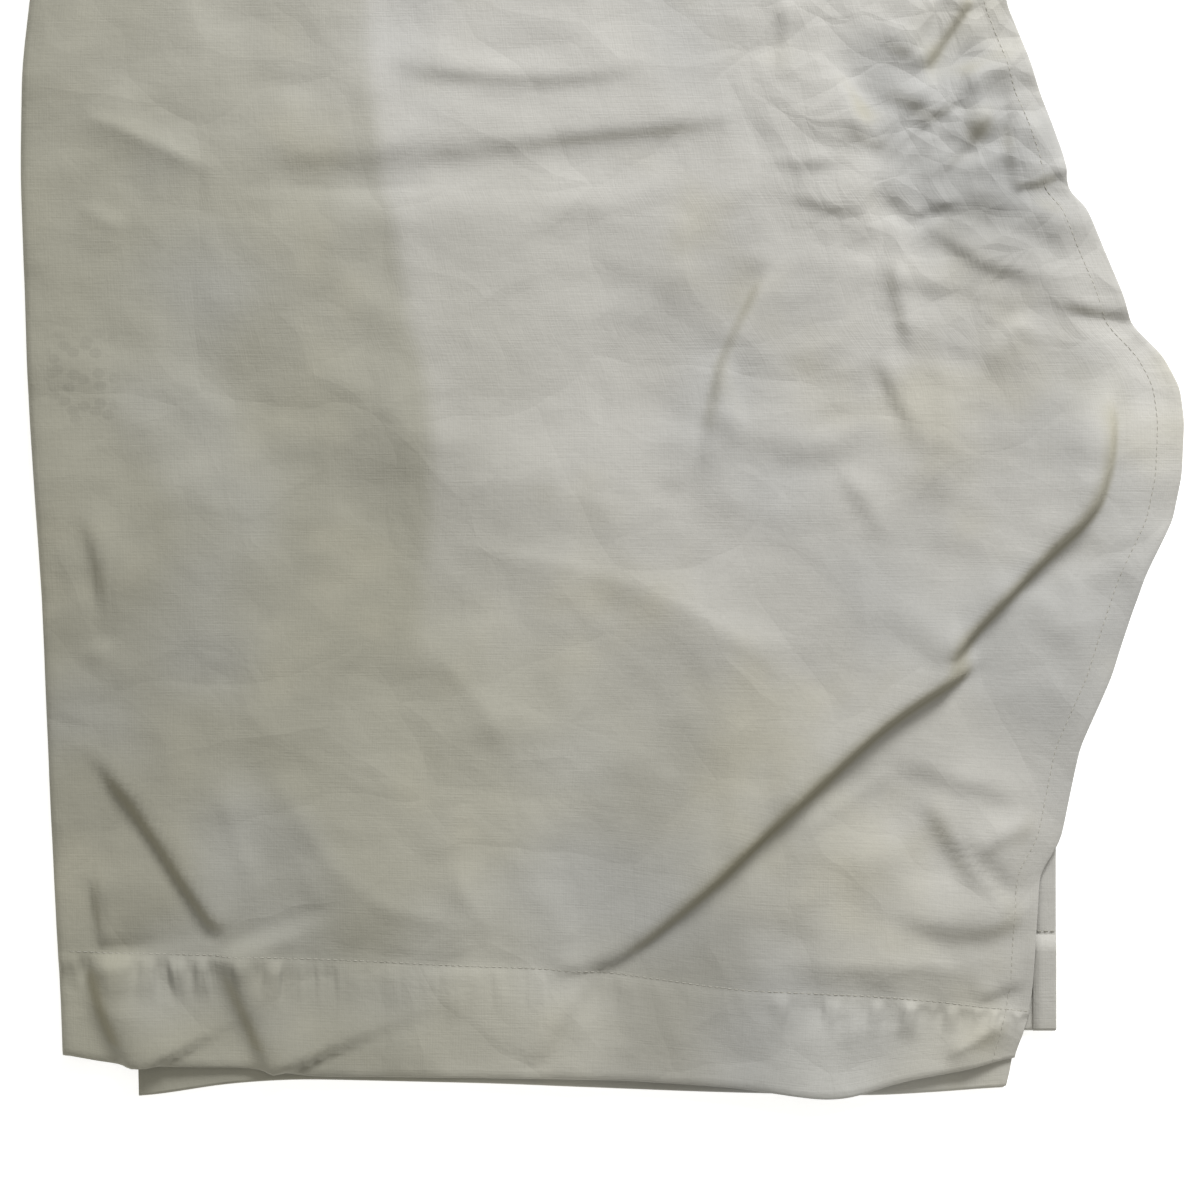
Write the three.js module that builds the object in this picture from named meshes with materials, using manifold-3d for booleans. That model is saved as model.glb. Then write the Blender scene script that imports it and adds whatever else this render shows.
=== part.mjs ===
// A cotton butcher apron, folded in half lengthwise and laid flat: the front half lies on the back half,
// joined along a soft fold. Millimetres, +Z up, hem towards -Y, bib and neck strap towards +Y.
import * as THREE from 'three';
import { mergeVertices } from 'three/addons/utils/BufferGeometryUtils.js';
import Module from 'manifold-3d';

const wasm = await Module();
wasm.setup();

// ---- driving dimensions ------------------------------------------------------------------------
const CLOTH = 0.8;              // thickness of the apron cloth
const TAPE = 1.2;               // thickness of the strap and tie tape
const TAPE_WIDTH = 25;          // width of the strap and tie tape
const THREAD = 0.4;             // thickness of a row of stitches
const STITCH_WIDTH = 0.8;       // width of a row of stitches
const GAP = 0.3;                // clearance between neighbouring pieces
const LOFT = 12;                // height of the soft lengthwise fold, and of the folded apron

const HALF_WIDTH = 450;         // fold to side edge at the hem
const SIDE_SWELL = 76;          // how far the front side edge swells out
const SWELL_LENGTH = 310;       // hem to the widest place of the swell
const SWELL_FALL = 190;         // widest place to where the side edge is straight again
const SKIRT_LENGTH = 640;       // hem to waist
const BACK_OUT = 17;            // how far the back half reaches past the front half's side edge
const BACK_DROP = 17;           // how far the middle of the back half hangs below the front hem
const BACK_TUCK = 35;           // width of the tuck beside the fold
const BACK_LIFT = 14;           // how far the back half's outer strip is drawn up above the front hem

const BIB_LENGTH = 360;         // waist to the top of the bib
const BIB_HALF_WIDTH = 145;     // fold to the armhole at the top of the bib
const WAIST_CORNER = 15;        // straight side edge left on the bib, above the waist
const ARMHOLE_PULL = 0.74;      // how deeply the armhole is scooped, from 0, a straight cut, to 1, square

const HEM_DEPTH = 48;           // turned-up bottom hem
const SIDE_HEM = 12;            // turned-in side hem
const TOP_HEM = 30;             // turned-down hem at the top of the bib
const BINDING = 14;             // width of the tape that faces the armhole
const STITCH_INSET = 2;         // a row of stitches to the free edge of its hem
const SEWN_END = 28;            // length of strap or tie that is sewn down
const TACK_INSET = 3;           // edge of the tape to the square of stitches that holds it

const STRAP_REACH = 282;        // neck strap, doubled, from the bib to its far end
const STRAP_SPREAD = 60;        // how far each leg of the neck strap has moved sideways at its far end
const STRAP_CORNER = 4;         // strap to the armhole, at the corner of the bib
const STRAP_BEND = 10;          // how far the back leg runs level before it drops to the surface
const BACK_FALL = 20;           // how far the back leg travels as it drops
const FRONT_FALL = 40;          // how far the front leg travels as it drops
const LEG_ROOM = 4;             // room between the legs where the front one starts to drop
const TIE_REACH = 410;          // length of each leg of a waist tie
const TIE_PITCH = 35;           // centre to centre of the two legs of a tie
const FRONT_TIE_DROP = 90;      // waist down to the centre of the front tie
const BACK_TIE_DROP = 27;       // waist down to the centre of the back tie
const TIE_STUB = 73;            // how far the back tie runs out before it turns up
const TIE_BEND = 4;             // how far the back tie runs level before it drops to the surface
const TIE_DROP = 14;            // how far out it travels as it drops

const HINGE_ROOM = 3;           // strap to the edge of the bib
const CURVE_STEPS = 28;         // steps along a curved edge
const FOLD_STEPS = 10;          // steps round the soft fold

// ---- heights of the layers, from the resting surface up ----------------------------------------
const LAYER = CLOTH + GAP;
const FRONT_Z = LOFT - CLOTH;                   // underside of the front cloth
const FRONT_HEM_Z = FRONT_Z - LAYER;            // underside of what is turned in behind it
const FRONT_TAPE_Z = FRONT_HEM_Z - GAP - TAPE;  // underside of the tape ends sewn behind that
const BACK_HEM_Z = LAYER;
const BACK_TAPE_Z = 2 * LAYER;
const FRONT_THREAD_Z = LOFT + GAP;
const BACK_THREAD_Z = BACK_TAPE_Z;
const TIE_TOP_Z = FRONT_THREAD_Z + THREAD + GAP;  // where the front tie lies on the front half
const FOLD_R = LOFT / 2;
const APRON_LENGTH = SKIRT_LENGTH + BIB_LENGTH;
const FRONT_TIE_Y = SKIRT_LENGTH - FRONT_TIE_DROP;
const BACK_TIE_Y = SKIRT_LENGTH - BACK_TIE_DROP;

// ---- materials ---------------------------------------------------------------------------------
const cloth = (name) => named(name, 0xbdbaaf, 0.92);
const tape = (name) => named(name, 0xc6c2b4, 0.9);
const thread = (name) => named(name, 0xd2cfc2, 0.85);

function named(name, color, roughness) {
  return new THREE.MeshStandardMaterial({ name, color, roughness, metalness: 0 });
}

// ---- helpers -----------------------------------------------------------------------------------
const at = (x, y) => new THREE.Vector2(x, y);

function outline(points) {
  return new THREE.Shape(points);
}

// A flat sheet of the given outline, from z up.
function sheet(points, z, thickness) {
  const geometry = new THREE.ExtrudeGeometry(outline(points), { depth: thickness, bevelEnabled: false });
  return geometry.translate(0, 0, z);
}

function rectangle(x0, y0, x1, y1) {
  return [at(x0, y0), at(x1, y0), at(x1, y1), at(x0, y1)];
}

// A side profile in X and Z, run along Y from y0 for a length.
function alongY(points, y0, length) {
  const geometry = new THREE.ExtrudeGeometry(outline(points), { depth: length, bevelEnabled: false });
  return geometry.rotateX(Math.PI / 2).translate(0, y0 + length, 0);
}

// A side profile in Y and Z, run along X from x0 for a length.
function alongX(points, x0, length) {
  const geometry = new THREE.ExtrudeGeometry(outline(points), { depth: length, bevelEnabled: false });
  return geometry.rotateX(Math.PI / 2).rotateZ(Math.PI / 2).translate(x0, 0, 0);
}

function solid(geometry) {
  const bare = geometry.clone();
  bare.deleteAttribute('normal');
  bare.deleteAttribute('uv');
  const merged = mergeVertices(bare, 1e-4);
  const vertProperties = new Float32Array(merged.attributes.position.array);
  const triVerts = new Uint32Array(merged.index.array);
  return new wasm.Manifold(new wasm.Mesh({ numProp: 3, vertProperties, triVerts }));
}

function joined(geometries) {
  let whole = solid(geometries[0]);
  for (const geometry of geometries.slice(1)) whole = whole.add(solid(geometry));
  const mesh = whole.getMesh();
  const result = new THREE.BufferGeometry();
  result.setAttribute('position', new THREE.BufferAttribute(new Float32Array(mesh.vertProperties), 3));
  result.setIndex(new THREE.BufferAttribute(new Uint32Array(mesh.triVerts), 1));
  return result;
}

function piece(name, geometry, material) {
  const mesh = new THREE.Mesh(geometry, material);
  mesh.name = name;
  return mesh;
}

// ---- edges -------------------------------------------------------------------------------------
// The front half's side edge: it swells out above the hem and comes back in below the waist.
function sideEdge(y) {
  const reach = y < SWELL_LENGTH ? SWELL_LENGTH : SWELL_FALL;
  const t = Math.min(1, Math.abs(y - SWELL_LENGTH) / reach);
  return HALF_WIDTH + SIDE_SWELL * 0.5 * (1 + Math.cos(Math.PI * t));
}

function sideLine(y0, y1, inset) {
  const points = [];
  for (let i = 0; i <= CURVE_STEPS; i++) {
    const y = y0 + (y1 - y0) * i / CURVE_STEPS;
    points.push(at(sideEdge(y) - inset, y));
  }
  return points;
}

const armhole = new THREE.QuadraticBezierCurve(
  at(HALF_WIDTH, SKIRT_LENGTH + GAP + WAIST_CORNER),
  at(
    HALF_WIDTH + (BIB_HALF_WIDTH - HALF_WIDTH) * ARMHOLE_PULL,
    APRON_LENGTH + (SKIRT_LENGTH + WAIST_CORNER - APRON_LENGTH) * ARMHOLE_PULL
  ),
  at(BIB_HALF_WIDTH, APRON_LENGTH)
);

function armholeLine(inset) {
  const points = [];
  for (let i = 0; i <= CURVE_STEPS; i++) {
    const p = armhole.getPoint(i / CURVE_STEPS);
    const t = armhole.getTangent(i / CURVE_STEPS);
    points.push(at(p.x - t.y * inset, p.y + t.x * inset));
  }
  return points;
}

// A strip between a line and the same line at another inset.
function strip(line, outer, inner) {
  return [...line(outer), ...line(inner).reverse()];
}

// ---- the apron cloth ---------------------------------------------------------------------------
// The soft fold that joins the two halves: half a tube along Y.
function softFold(y0, y1) {
  const points = [];
  for (let i = 0; i <= FOLD_STEPS; i++) {
    const a = Math.PI / 2 + Math.PI * i / FOLD_STEPS;
    points.push(at(FOLD_R + FOLD_R * Math.cos(a), FOLD_R + FOLD_R * Math.sin(a)));
  }
  for (let i = FOLD_STEPS; i >= 0; i--) {
    const a = Math.PI / 2 + Math.PI * i / FOLD_STEPS;
    const r = FOLD_R - CLOTH;
    points.push(at(FOLD_R + r * Math.cos(a), FOLD_R + r * Math.sin(a)));
  }
  return alongY(points, y0, y1 - y0);
}

function skirtCloth() {
  const top = SKIRT_LENGTH;
  const front = [at(FOLD_R, 0), ...sideLine(0, top, 0), at(FOLD_R, top)];
  const outer = HALF_WIDTH + BACK_OUT;
  const back = [
    at(FOLD_R, 0), at(BACK_TUCK, 0), at(BACK_TUCK, -BACK_DROP), at(HALF_WIDTH, -BACK_DROP),
    at(HALF_WIDTH, BACK_LIFT), at(outer, BACK_LIFT), at(outer, top), at(FOLD_R, top),
  ];
  return joined([softFold(0, top), sheet(front, FRONT_Z, CLOTH), sheet(back, 0, CLOTH)]);
}

function bibCloth() {
  const foot = SKIRT_LENGTH + GAP;
  const half = [at(FOLD_R, foot), at(HALF_WIDTH, foot), ...armholeLine(0), at(FOLD_R, APRON_LENGTH)];
  return joined([softFold(foot, APRON_LENGTH), sheet(half, FRONT_Z, CLOTH), sheet(half, 0, CLOTH)]);
}

// ---- turned hems and armhole facings -----------------------------------------------------------
function frontBottomHem() {
  return sheet([at(FOLD_R, 0), ...sideLine(0, HEM_DEPTH, GAP), at(FOLD_R, HEM_DEPTH)], FRONT_HEM_Z, CLOTH);
}

function backBottomHem() {
  const foot = -BACK_DROP;
  return sheet(rectangle(BACK_TUCK + GAP, foot, HALF_WIDTH - GAP, foot + HEM_DEPTH), BACK_HEM_Z, CLOTH);
}

function frontSideHem() {
  const line = (inset) => sideLine(HEM_DEPTH + GAP, SKIRT_LENGTH - GAP, inset);
  return sheet(strip(line, GAP, SIDE_HEM), FRONT_HEM_Z, CLOTH);
}

function backSideHem() {
  const x = HALF_WIDTH + BACK_OUT;
  return sheet(rectangle(x - SIDE_HEM, BACK_LIFT, x, SKIRT_LENGTH - GAP), BACK_HEM_Z, CLOTH);
}

// The top hem ends beside the armhole facing.
const TOP_HEM_END = Math.min(...armholeLine(BINDING).map((p) => p.x)) - GAP;

function topHem(z) {
  return sheet(rectangle(FOLD_R, APRON_LENGTH - TOP_HEM, TOP_HEM_END, APRON_LENGTH), z, CLOTH);
}

function armholeFacing(z) {
  return sheet(strip(armholeLine, 0, BINDING), z, CLOTH);
}

// ---- rows of stitches --------------------------------------------------------------------------
function row(x0, x1, y, z) {
  return sheet(rectangle(x0, y - STITCH_WIDTH / 2, x1, y + STITCH_WIDTH / 2), z, THREAD);
}

function frontSideStitches() {
  const inset = SIDE_HEM - STITCH_INSET;
  const line = (more) => sideLine(HEM_DEPTH + GAP, SKIRT_LENGTH - GAP, inset + more);
  return sheet(strip(line, 0, STITCH_WIDTH), FRONT_THREAD_Z, THREAD);
}

function backSideStitches() {
  const x = HALF_WIDTH + BACK_OUT - SIDE_HEM + STITCH_INSET;
  const low = rectangle(x, BACK_LIFT + GAP, x + STITCH_WIDTH, BACK_TIE_Y - TAPE_WIDTH / 2 - GAP);
  return sheet(low, BACK_THREAD_Z, THREAD);
}

function armholeStitches(z) {
  const inset = BINDING - STITCH_INSET;
  const line = (more) => armholeLine(inset + more).slice(2, -3);
  return sheet(strip(line, 0, STITCH_WIDTH), z, THREAD);
}

// The square of stitches with a cross in it that holds a tape end: a plate with four triangles left out.
function tack(x, y, z) {
  const half = TAPE_WIDTH / 2 - TACK_INSET;
  const inner = half - STITCH_WIDTH;
  const diagonal = STITCH_WIDTH * Math.SQRT1_2;
  const square = outline(rectangle(-half, -half, half, half));
  for (let side = 0; side < 4; side++) {
    const triangle = [at(0, diagonal), at(inner - diagonal, inner), at(diagonal - inner, inner)];
    square.holes.push(new THREE.Path(triangle.map((p) => p.rotateAround(at(0, 0), side * Math.PI / 2))));
  }
  const geometry = new THREE.ExtrudeGeometry(square, { depth: THREAD, bevelEnabled: false });
  return geometry.translate(x, y, z);
}

// ---- neck strap --------------------------------------------------------------------------------
const STRAP_X = BIB_HALF_WIDTH - STRAP_CORNER - TAPE_WIDTH / 2;
const STRAP_Y = APRON_LENGTH + HINGE_ROOM;
const STRAP_END_Y = APRON_LENGTH - SEWN_END / 2;

// One leg, from the bib down onto the resting surface and along it, leaning to one side on the way.
function strapLeg(z, fallStart, fallEnd, lean) {
  const end = STRAP_Y + STRAP_REACH;
  const profile = [
    at(STRAP_Y, z), at(fallStart, z), at(fallEnd, 0), at(end, 0),
    at(end, TAPE), at(fallEnd, TAPE), at(fallStart, z + TAPE), at(STRAP_Y, z + TAPE),
  ];
  const slope = lean / STRAP_REACH;
  const shear = new THREE.Matrix4().set(1, slope, 0, -slope * STRAP_Y, 0, 1, 0, 0, 0, 0, 1, 0, 0, 0, 0, 1);
  return alongX(profile, STRAP_X - TAPE_WIDTH / 2, TAPE_WIDTH).applyMatrix4(shear);
}

function neckStrap() {
  const crossed = STRAP_Y + STRAP_REACH * (TAPE_WIDTH + LEG_ROOM) / (2 * STRAP_SPREAD);
  const level = STRAP_Y + STRAP_BEND;
  const front = strapLeg(FRONT_TAPE_Z, crossed, crossed + FRONT_FALL, STRAP_SPREAD);
  const back = strapLeg(BACK_TAPE_Z, level, level + BACK_FALL, -STRAP_SPREAD);
  const half = STRAP_SPREAD + TAPE_WIDTH / 2;
  const end = STRAP_Y + STRAP_REACH;
  const across = rectangle(STRAP_X - half, end - TAPE_WIDTH, STRAP_X + half, end);
  return joined([front, back, sheet(across, TAPE / 2, TAPE)]);
}

function strapEnd(z) {
  const w = TAPE_WIDTH / 2;
  return sheet(rectangle(STRAP_X - w, APRON_LENGTH - SEWN_END, STRAP_X + w, APRON_LENGTH), z, TAPE);
}

// ---- waist ties --------------------------------------------------------------------------------
// The front tie leaves the side edge at its widest place across the width of the tape.
const FRONT_TIE_EDGE = Math.max(
  sideEdge(FRONT_TIE_Y - TAPE_WIDTH / 2), sideEdge(FRONT_TIE_Y + TAPE_WIDTH / 2)
);

// A tie laid as a hairpin: a leg, a turn across, and a leg back.
function frontTie() {
  const edge = FRONT_TIE_EDGE + HINGE_ROOM;
  const far = edge - TIE_REACH;
  const w = TAPE_WIDTH / 2;
  const first = rectangle(far, FRONT_TIE_Y - w, edge, FRONT_TIE_Y + w);
  const turn = rectangle(far, FRONT_TIE_Y - w, far + TAPE_WIDTH, FRONT_TIE_Y + TIE_PITCH + w);
  const second = rectangle(far, FRONT_TIE_Y + TIE_PITCH - w, edge - TAPE_WIDTH, FRONT_TIE_Y + TIE_PITCH + w);
  return joined([
    sheet(first, TIE_TOP_Z, TAPE), sheet(turn, TIE_TOP_Z + TAPE / 2, TAPE), sheet(second, TIE_TOP_Z, TAPE),
  ]);
}

// The front tie's sewn end comes out past the side edge and turns up beside it.
function frontTieEnd() {
  const w = TAPE_WIDTH / 2;
  const inside = FRONT_TIE_EDGE - SEWN_END;
  const out = FRONT_TIE_EDGE + GAP;
  const profile = [
    at(inside, FRONT_TAPE_Z), at(out + TAPE, FRONT_TAPE_Z), at(out + TAPE, TIE_TOP_Z - GAP),
    at(out, TIE_TOP_Z - GAP), at(out, FRONT_TAPE_Z + TAPE), at(inside, FRONT_TAPE_Z + TAPE),
  ];
  return alongY(profile, FRONT_TIE_Y - w, TAPE_WIDTH);
}

function backTie() {
  const edge = HALF_WIDTH + BACK_OUT + GAP;
  const w = TAPE_WIDTH / 2;
  const far = edge + TIE_STUB;
  const bend = edge + TIE_BEND;
  const foot = bend + TIE_DROP;
  const profile = [
    at(edge, BACK_TAPE_Z), at(bend, BACK_TAPE_Z), at(foot, 0), at(far, 0),
    at(far, TAPE), at(foot, TAPE), at(bend, BACK_TAPE_Z + TAPE), at(edge, BACK_TAPE_Z + TAPE),
  ];
  const low = BACK_TIE_Y - w;
  const high = low + TIE_REACH;
  const near = far - TIE_PITCH - TAPE_WIDTH;
  return joined([
    alongY(profile, low, TAPE_WIDTH),
    sheet(rectangle(far - TAPE_WIDTH, low, far, high), TAPE / 2, TAPE),
    sheet(rectangle(near, high - TAPE_WIDTH, far, high), 0, TAPE),
    sheet(rectangle(near, low + TAPE_WIDTH + TIE_PITCH, near + TAPE_WIDTH, high), TAPE / 2, TAPE),
  ]);
}

function backTieEnd() {
  const x = HALF_WIDTH + BACK_OUT;
  const w = TAPE_WIDTH / 2;
  return sheet(rectangle(x - SEWN_END, BACK_TIE_Y - w, x, BACK_TIE_Y + w), BACK_TAPE_Z, TAPE);
}

// ---- assembly ----------------------------------------------------------------------------------
const FRONT_TACK_X = FRONT_TIE_EDGE - SEWN_END / 2;
const BACK_TACK_X = HALF_WIDTH + BACK_OUT - SEWN_END / 2;
const BACK_TACK_Z = BACK_TAPE_Z + TAPE + GAP;
const FRONT_TACK_Z = FRONT_TAPE_Z - GAP - THREAD;

const skirt = new THREE.Group();
skirt.add(
  piece('skirt_cloth', skirtCloth(), cloth('body_cloth')),
  piece('bottom_hem_front', frontBottomHem(), cloth('hem_cloth')),
  piece('bottom_hem_back', backBottomHem(), cloth('hem_cloth')),
  piece('side_hem_front', frontSideHem(), cloth('hem_cloth')),
  piece('side_hem_back', backSideHem(), cloth('hem_cloth')),
  piece('tie_end_front', frontTieEnd(), tape('tie_tape')),
  piece('tie_end_back', backTieEnd(), tape('tie_tape')),
  piece(
    'hem_stitching_front',
    row(FOLD_R, sideEdge(HEM_DEPTH) - SIDE_HEM, HEM_DEPTH - STITCH_INSET, FRONT_THREAD_Z),
    thread('hem_thread')
  ),
  piece(
    'hem_stitching_back',
    row(BACK_TUCK + GAP, HALF_WIDTH - SIDE_HEM, HEM_DEPTH - BACK_DROP - STITCH_INSET, BACK_THREAD_Z),
    thread('hem_thread')
  ),
  piece('side_stitching_front', frontSideStitches(), thread('side_thread')),
  piece('side_stitching_back', backSideStitches(), thread('side_thread')),
  piece('tie_tack_front', tack(FRONT_TACK_X, FRONT_TIE_Y, FRONT_TACK_Z), thread('tack_thread')),
  piece('tie_tack_back', tack(BACK_TACK_X, BACK_TIE_Y, BACK_TACK_Z), thread('tack_thread'))
);

const bib = new THREE.Group();
const topRowY = APRON_LENGTH - TOP_HEM + STITCH_INSET;
bib.add(
  piece('bib_cloth', bibCloth(), cloth('body_cloth')),
  piece('top_hem_front', topHem(FRONT_HEM_Z), cloth('hem_cloth')),
  piece('top_hem_back', topHem(BACK_HEM_Z), cloth('hem_cloth')),
  piece('armhole_facing_front', armholeFacing(FRONT_HEM_Z), tape('facing_tape')),
  piece('armhole_facing_back', armholeFacing(BACK_HEM_Z), tape('facing_tape')),
  piece('strap_end_front', strapEnd(FRONT_TAPE_Z), tape('strap_tape')),
  piece('strap_end_back', strapEnd(BACK_TAPE_Z), tape('strap_tape')),
  piece('top_stitching_front', row(FOLD_R, TOP_HEM_END, topRowY, FRONT_THREAD_Z), thread('hem_thread')),
  piece('top_stitching_back', row(FOLD_R, TOP_HEM_END - SEWN_END, topRowY - STITCH_INSET, BACK_THREAD_Z),
    thread('hem_thread')),
  piece('armhole_stitching_front', armholeStitches(FRONT_THREAD_Z), thread('side_thread')),
  piece('armhole_stitching_back', armholeStitches(BACK_THREAD_Z), thread('side_thread')),
  piece('strap_tack_front', tack(STRAP_X, STRAP_END_Y, FRONT_TACK_Z), thread('tack_thread')),
  piece('strap_tack_back', tack(STRAP_X, STRAP_END_Y, BACK_TACK_Z), thread('tack_thread'))
);

const apron = new THREE.Group();
apron.add(skirt, bib);
apron.add(piece('neck_strap', neckStrap(), tape('strap_tape')));
apron.add(piece('waist_tie_front', frontTie(), tape('tie_tape')));
apron.add(piece('waist_tie_back', backTie(), tape('tie_tape')));

// The origin is the middle of the whole outline, on the resting surface.
const box = new THREE.Box3().setFromObject(apron);
apron.position.set(-(box.min.x + box.max.x) / 2, -(box.min.y + box.max.y) / 2, -box.min.z);

export default apron;
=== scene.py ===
"""A washed cotton butcher apron, folded in half lengthwise and laid flat, written as a Blender add-on.

Plan coordinates: across is metres from the lengthwise fold, up is metres from the hem of the front half.
"""

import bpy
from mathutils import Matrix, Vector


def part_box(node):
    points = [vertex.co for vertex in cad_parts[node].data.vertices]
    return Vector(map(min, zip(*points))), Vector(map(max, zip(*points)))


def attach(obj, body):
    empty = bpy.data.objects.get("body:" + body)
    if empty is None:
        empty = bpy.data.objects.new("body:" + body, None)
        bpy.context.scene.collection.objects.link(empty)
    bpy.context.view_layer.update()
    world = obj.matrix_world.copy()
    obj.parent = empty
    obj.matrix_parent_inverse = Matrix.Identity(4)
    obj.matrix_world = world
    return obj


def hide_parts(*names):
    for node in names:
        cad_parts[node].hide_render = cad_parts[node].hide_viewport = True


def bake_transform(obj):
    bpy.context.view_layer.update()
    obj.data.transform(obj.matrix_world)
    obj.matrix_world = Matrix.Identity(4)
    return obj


bl_info = {
    "name": "Folded butcher apron",
    "version": (1, 0, 0),
    "blender": (4, 5, 0),
    "location": "3D View > Sidebar > Apron",
    "description": "Makes a folded cotton butcher apron, its tapes and its stitches around the packed frame",
    "category": "Add Mesh",
}

import math

import bpy
import numpy as np
from mathutils import Vector

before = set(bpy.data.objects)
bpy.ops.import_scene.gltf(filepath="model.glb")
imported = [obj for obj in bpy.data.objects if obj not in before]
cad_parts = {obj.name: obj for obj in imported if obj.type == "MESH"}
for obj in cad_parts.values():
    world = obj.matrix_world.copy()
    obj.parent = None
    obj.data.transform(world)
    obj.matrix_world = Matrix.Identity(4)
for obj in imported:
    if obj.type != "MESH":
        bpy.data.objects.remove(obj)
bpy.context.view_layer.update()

MM = 0.001

# ---- places and sizes read from the frame --------------------------------------------------------
SKIRT_LOW, SKIRT_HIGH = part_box("skirt_cloth")
BIB_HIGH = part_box("bib_cloth")[1]
HEM_LOW, HEM_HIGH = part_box("bottom_hem_front")
BACK_HEM_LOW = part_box("bottom_hem_back")[0]
SIDE_BACK_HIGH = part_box("side_hem_back")[1]
STRAP_LOW, STRAP_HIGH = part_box("neck_strap")
STRAP_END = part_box("strap_end_front")
TIE_LOW, TIE_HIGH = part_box("waist_tie_front")
BACK_TIE_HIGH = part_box("waist_tie_back")[1]
FRONT_TIE_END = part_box("tie_end_front")
BACK_TIE_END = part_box("tie_end_back")

FOLD_X = SKIRT_LOW.x
HEM_Y = HEM_LOW.y
HEM_DEPTH = HEM_HIGH.y - HEM_LOW.y
WAIST = SKIRT_HIGH.y - HEM_Y
APRON_LENGTH = BIB_HIGH.y - HEM_Y
HALF_WIDTH = BIB_HIGH.x - FOLD_X
BACK_EDGE = SIDE_BACK_HIGH.x - FOLD_X
BACK_TUCK = BACK_HEM_LOW.x - FOLD_X
BIB_TOP_WIDTH = STRAP_END[1].x - FOLD_X + 4 * MM
TAPE_WIDTH = STRAP_END[1].x - STRAP_END[0].x
TOP_HEM = BIB_HIGH.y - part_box("top_hem_front")[0].y
FACING_WIDTH = 14 * MM
ARMHOLE_FOOT = WAIST + 15.3 * MM


def place(x, y, z):
    """Points of the plan and their heights, in the frame's own coordinates."""
    return np.stack([x + FOLD_X, y + HEM_Y, z], axis=-1)


# ---- settings ------------------------------------------------------------------------------------
class ApronClothSettings(bpy.types.PropertyGroup):
    thickness: bpy.props.FloatProperty(
        name="Cloth thickness", description="Thickness of the washed drill",
        default=0.6 * MM, unit="LENGTH",
    )
    mesh_step: bpy.props.FloatProperty(
        name="Mesh step", description="Spacing of the cloth's grid where it is finely creased",
        default=2.9 * MM, unit="LENGTH",
    )
    rest_height: bpy.props.FloatProperty(
        name="Rest height", description="How high the front half lies over the back half",
        default=6.2 * MM, unit="LENGTH",
    )
    slack: bpy.props.FloatProperty(
        name="Slack", description="Height of the broad waves left in the washed cloth",
        default=2.2 * MM, unit="LENGTH",
    )
    crumple: bpy.props.FloatProperty(
        name="Crumple", description="Height of the crumples below the waist",
        default=5.4 * MM, unit="LENGTH",
    )
    side_hem: bpy.props.FloatProperty(
        name="Side hem", description="Width of the turned-in side hem",
        default=12 * MM, unit="LENGTH",
    )
    armhole_pull: bpy.props.FloatProperty(
        name="Armhole scoop", description="How deeply the armhole is cut in", default=0.74, min=0, max=1,
    )


class ApronColourSettings(bpy.types.PropertyGroup):
    cloth: bpy.props.FloatVectorProperty(
        name="Cloth", description="Colour of the washed, unbleached cotton",
        default=(0.455, 0.448, 0.425), size=3, subtype="COLOR",
    )
    # painted shade: this darker, yellower colour is painted toward the fold and the hem and on the steep
    # sides of the folds; it is also the colour of the cloudy ageing
    shaded: bpy.props.FloatVectorProperty(
        name="Aged and shaded cloth", description="Colour of the duller, yellowed patches",
        default=(0.305, 0.298, 0.245), size=3, subtype="COLOR",
    )
    tape: bpy.props.FloatVectorProperty(
        name="Tape", description="Colour of the strap and the ties",
        default=(0.46, 0.445, 0.39), size=3, subtype="COLOR",
    )
    thread: bpy.props.FloatVectorProperty(
        name="Thread", description="Colour of the sewing thread",
        default=(0.44, 0.43, 0.38), size=3, subtype="COLOR",
    )


class ApronStageSettings(bpy.types.PropertyGroup):
    view_height: bpy.props.FloatProperty(
        name="Camera height", description="Height of the camera over the apron", default=1.3, unit="LENGTH",
    )
    view_span: bpy.props.FloatProperty(
        name="View span", description="Width of what the camera sees", default=564 * MM, unit="LENGTH",
    )
    view_up: bpy.props.FloatProperty(
        name="View middle", description="Middle of the view, from the front hem",
        default=216 * MM, unit="LENGTH",
    )
    view_shift: bpy.props.FloatProperty(
        name="View shift", description="How far the view lies toward the fold from the skirt's middle",
        default=10 * MM, unit="LENGTH",
    )
    key_power: bpy.props.FloatProperty(
        name="Key light", description="Power of the low light behind the apron, in watts", default=74,
    )
    fill_power: bpy.props.FloatProperty(
        name="Fill light", description="Power of the high light in front of the apron, in watts", default=10,
    )
    sky_strength: bpy.props.FloatProperty(
        name="Sky", description="Strength of the even light from all round", default=0.4,
    )
    floor: bpy.props.FloatVectorProperty(
        name="Floor", description="Colour of the floor", default=(0.9, 0.9, 0.9), size=3, subtype="COLOR",
    )


# ---- smooth seeded noise -------------------------------------------------------------------------
LATTICE = 256


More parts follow.
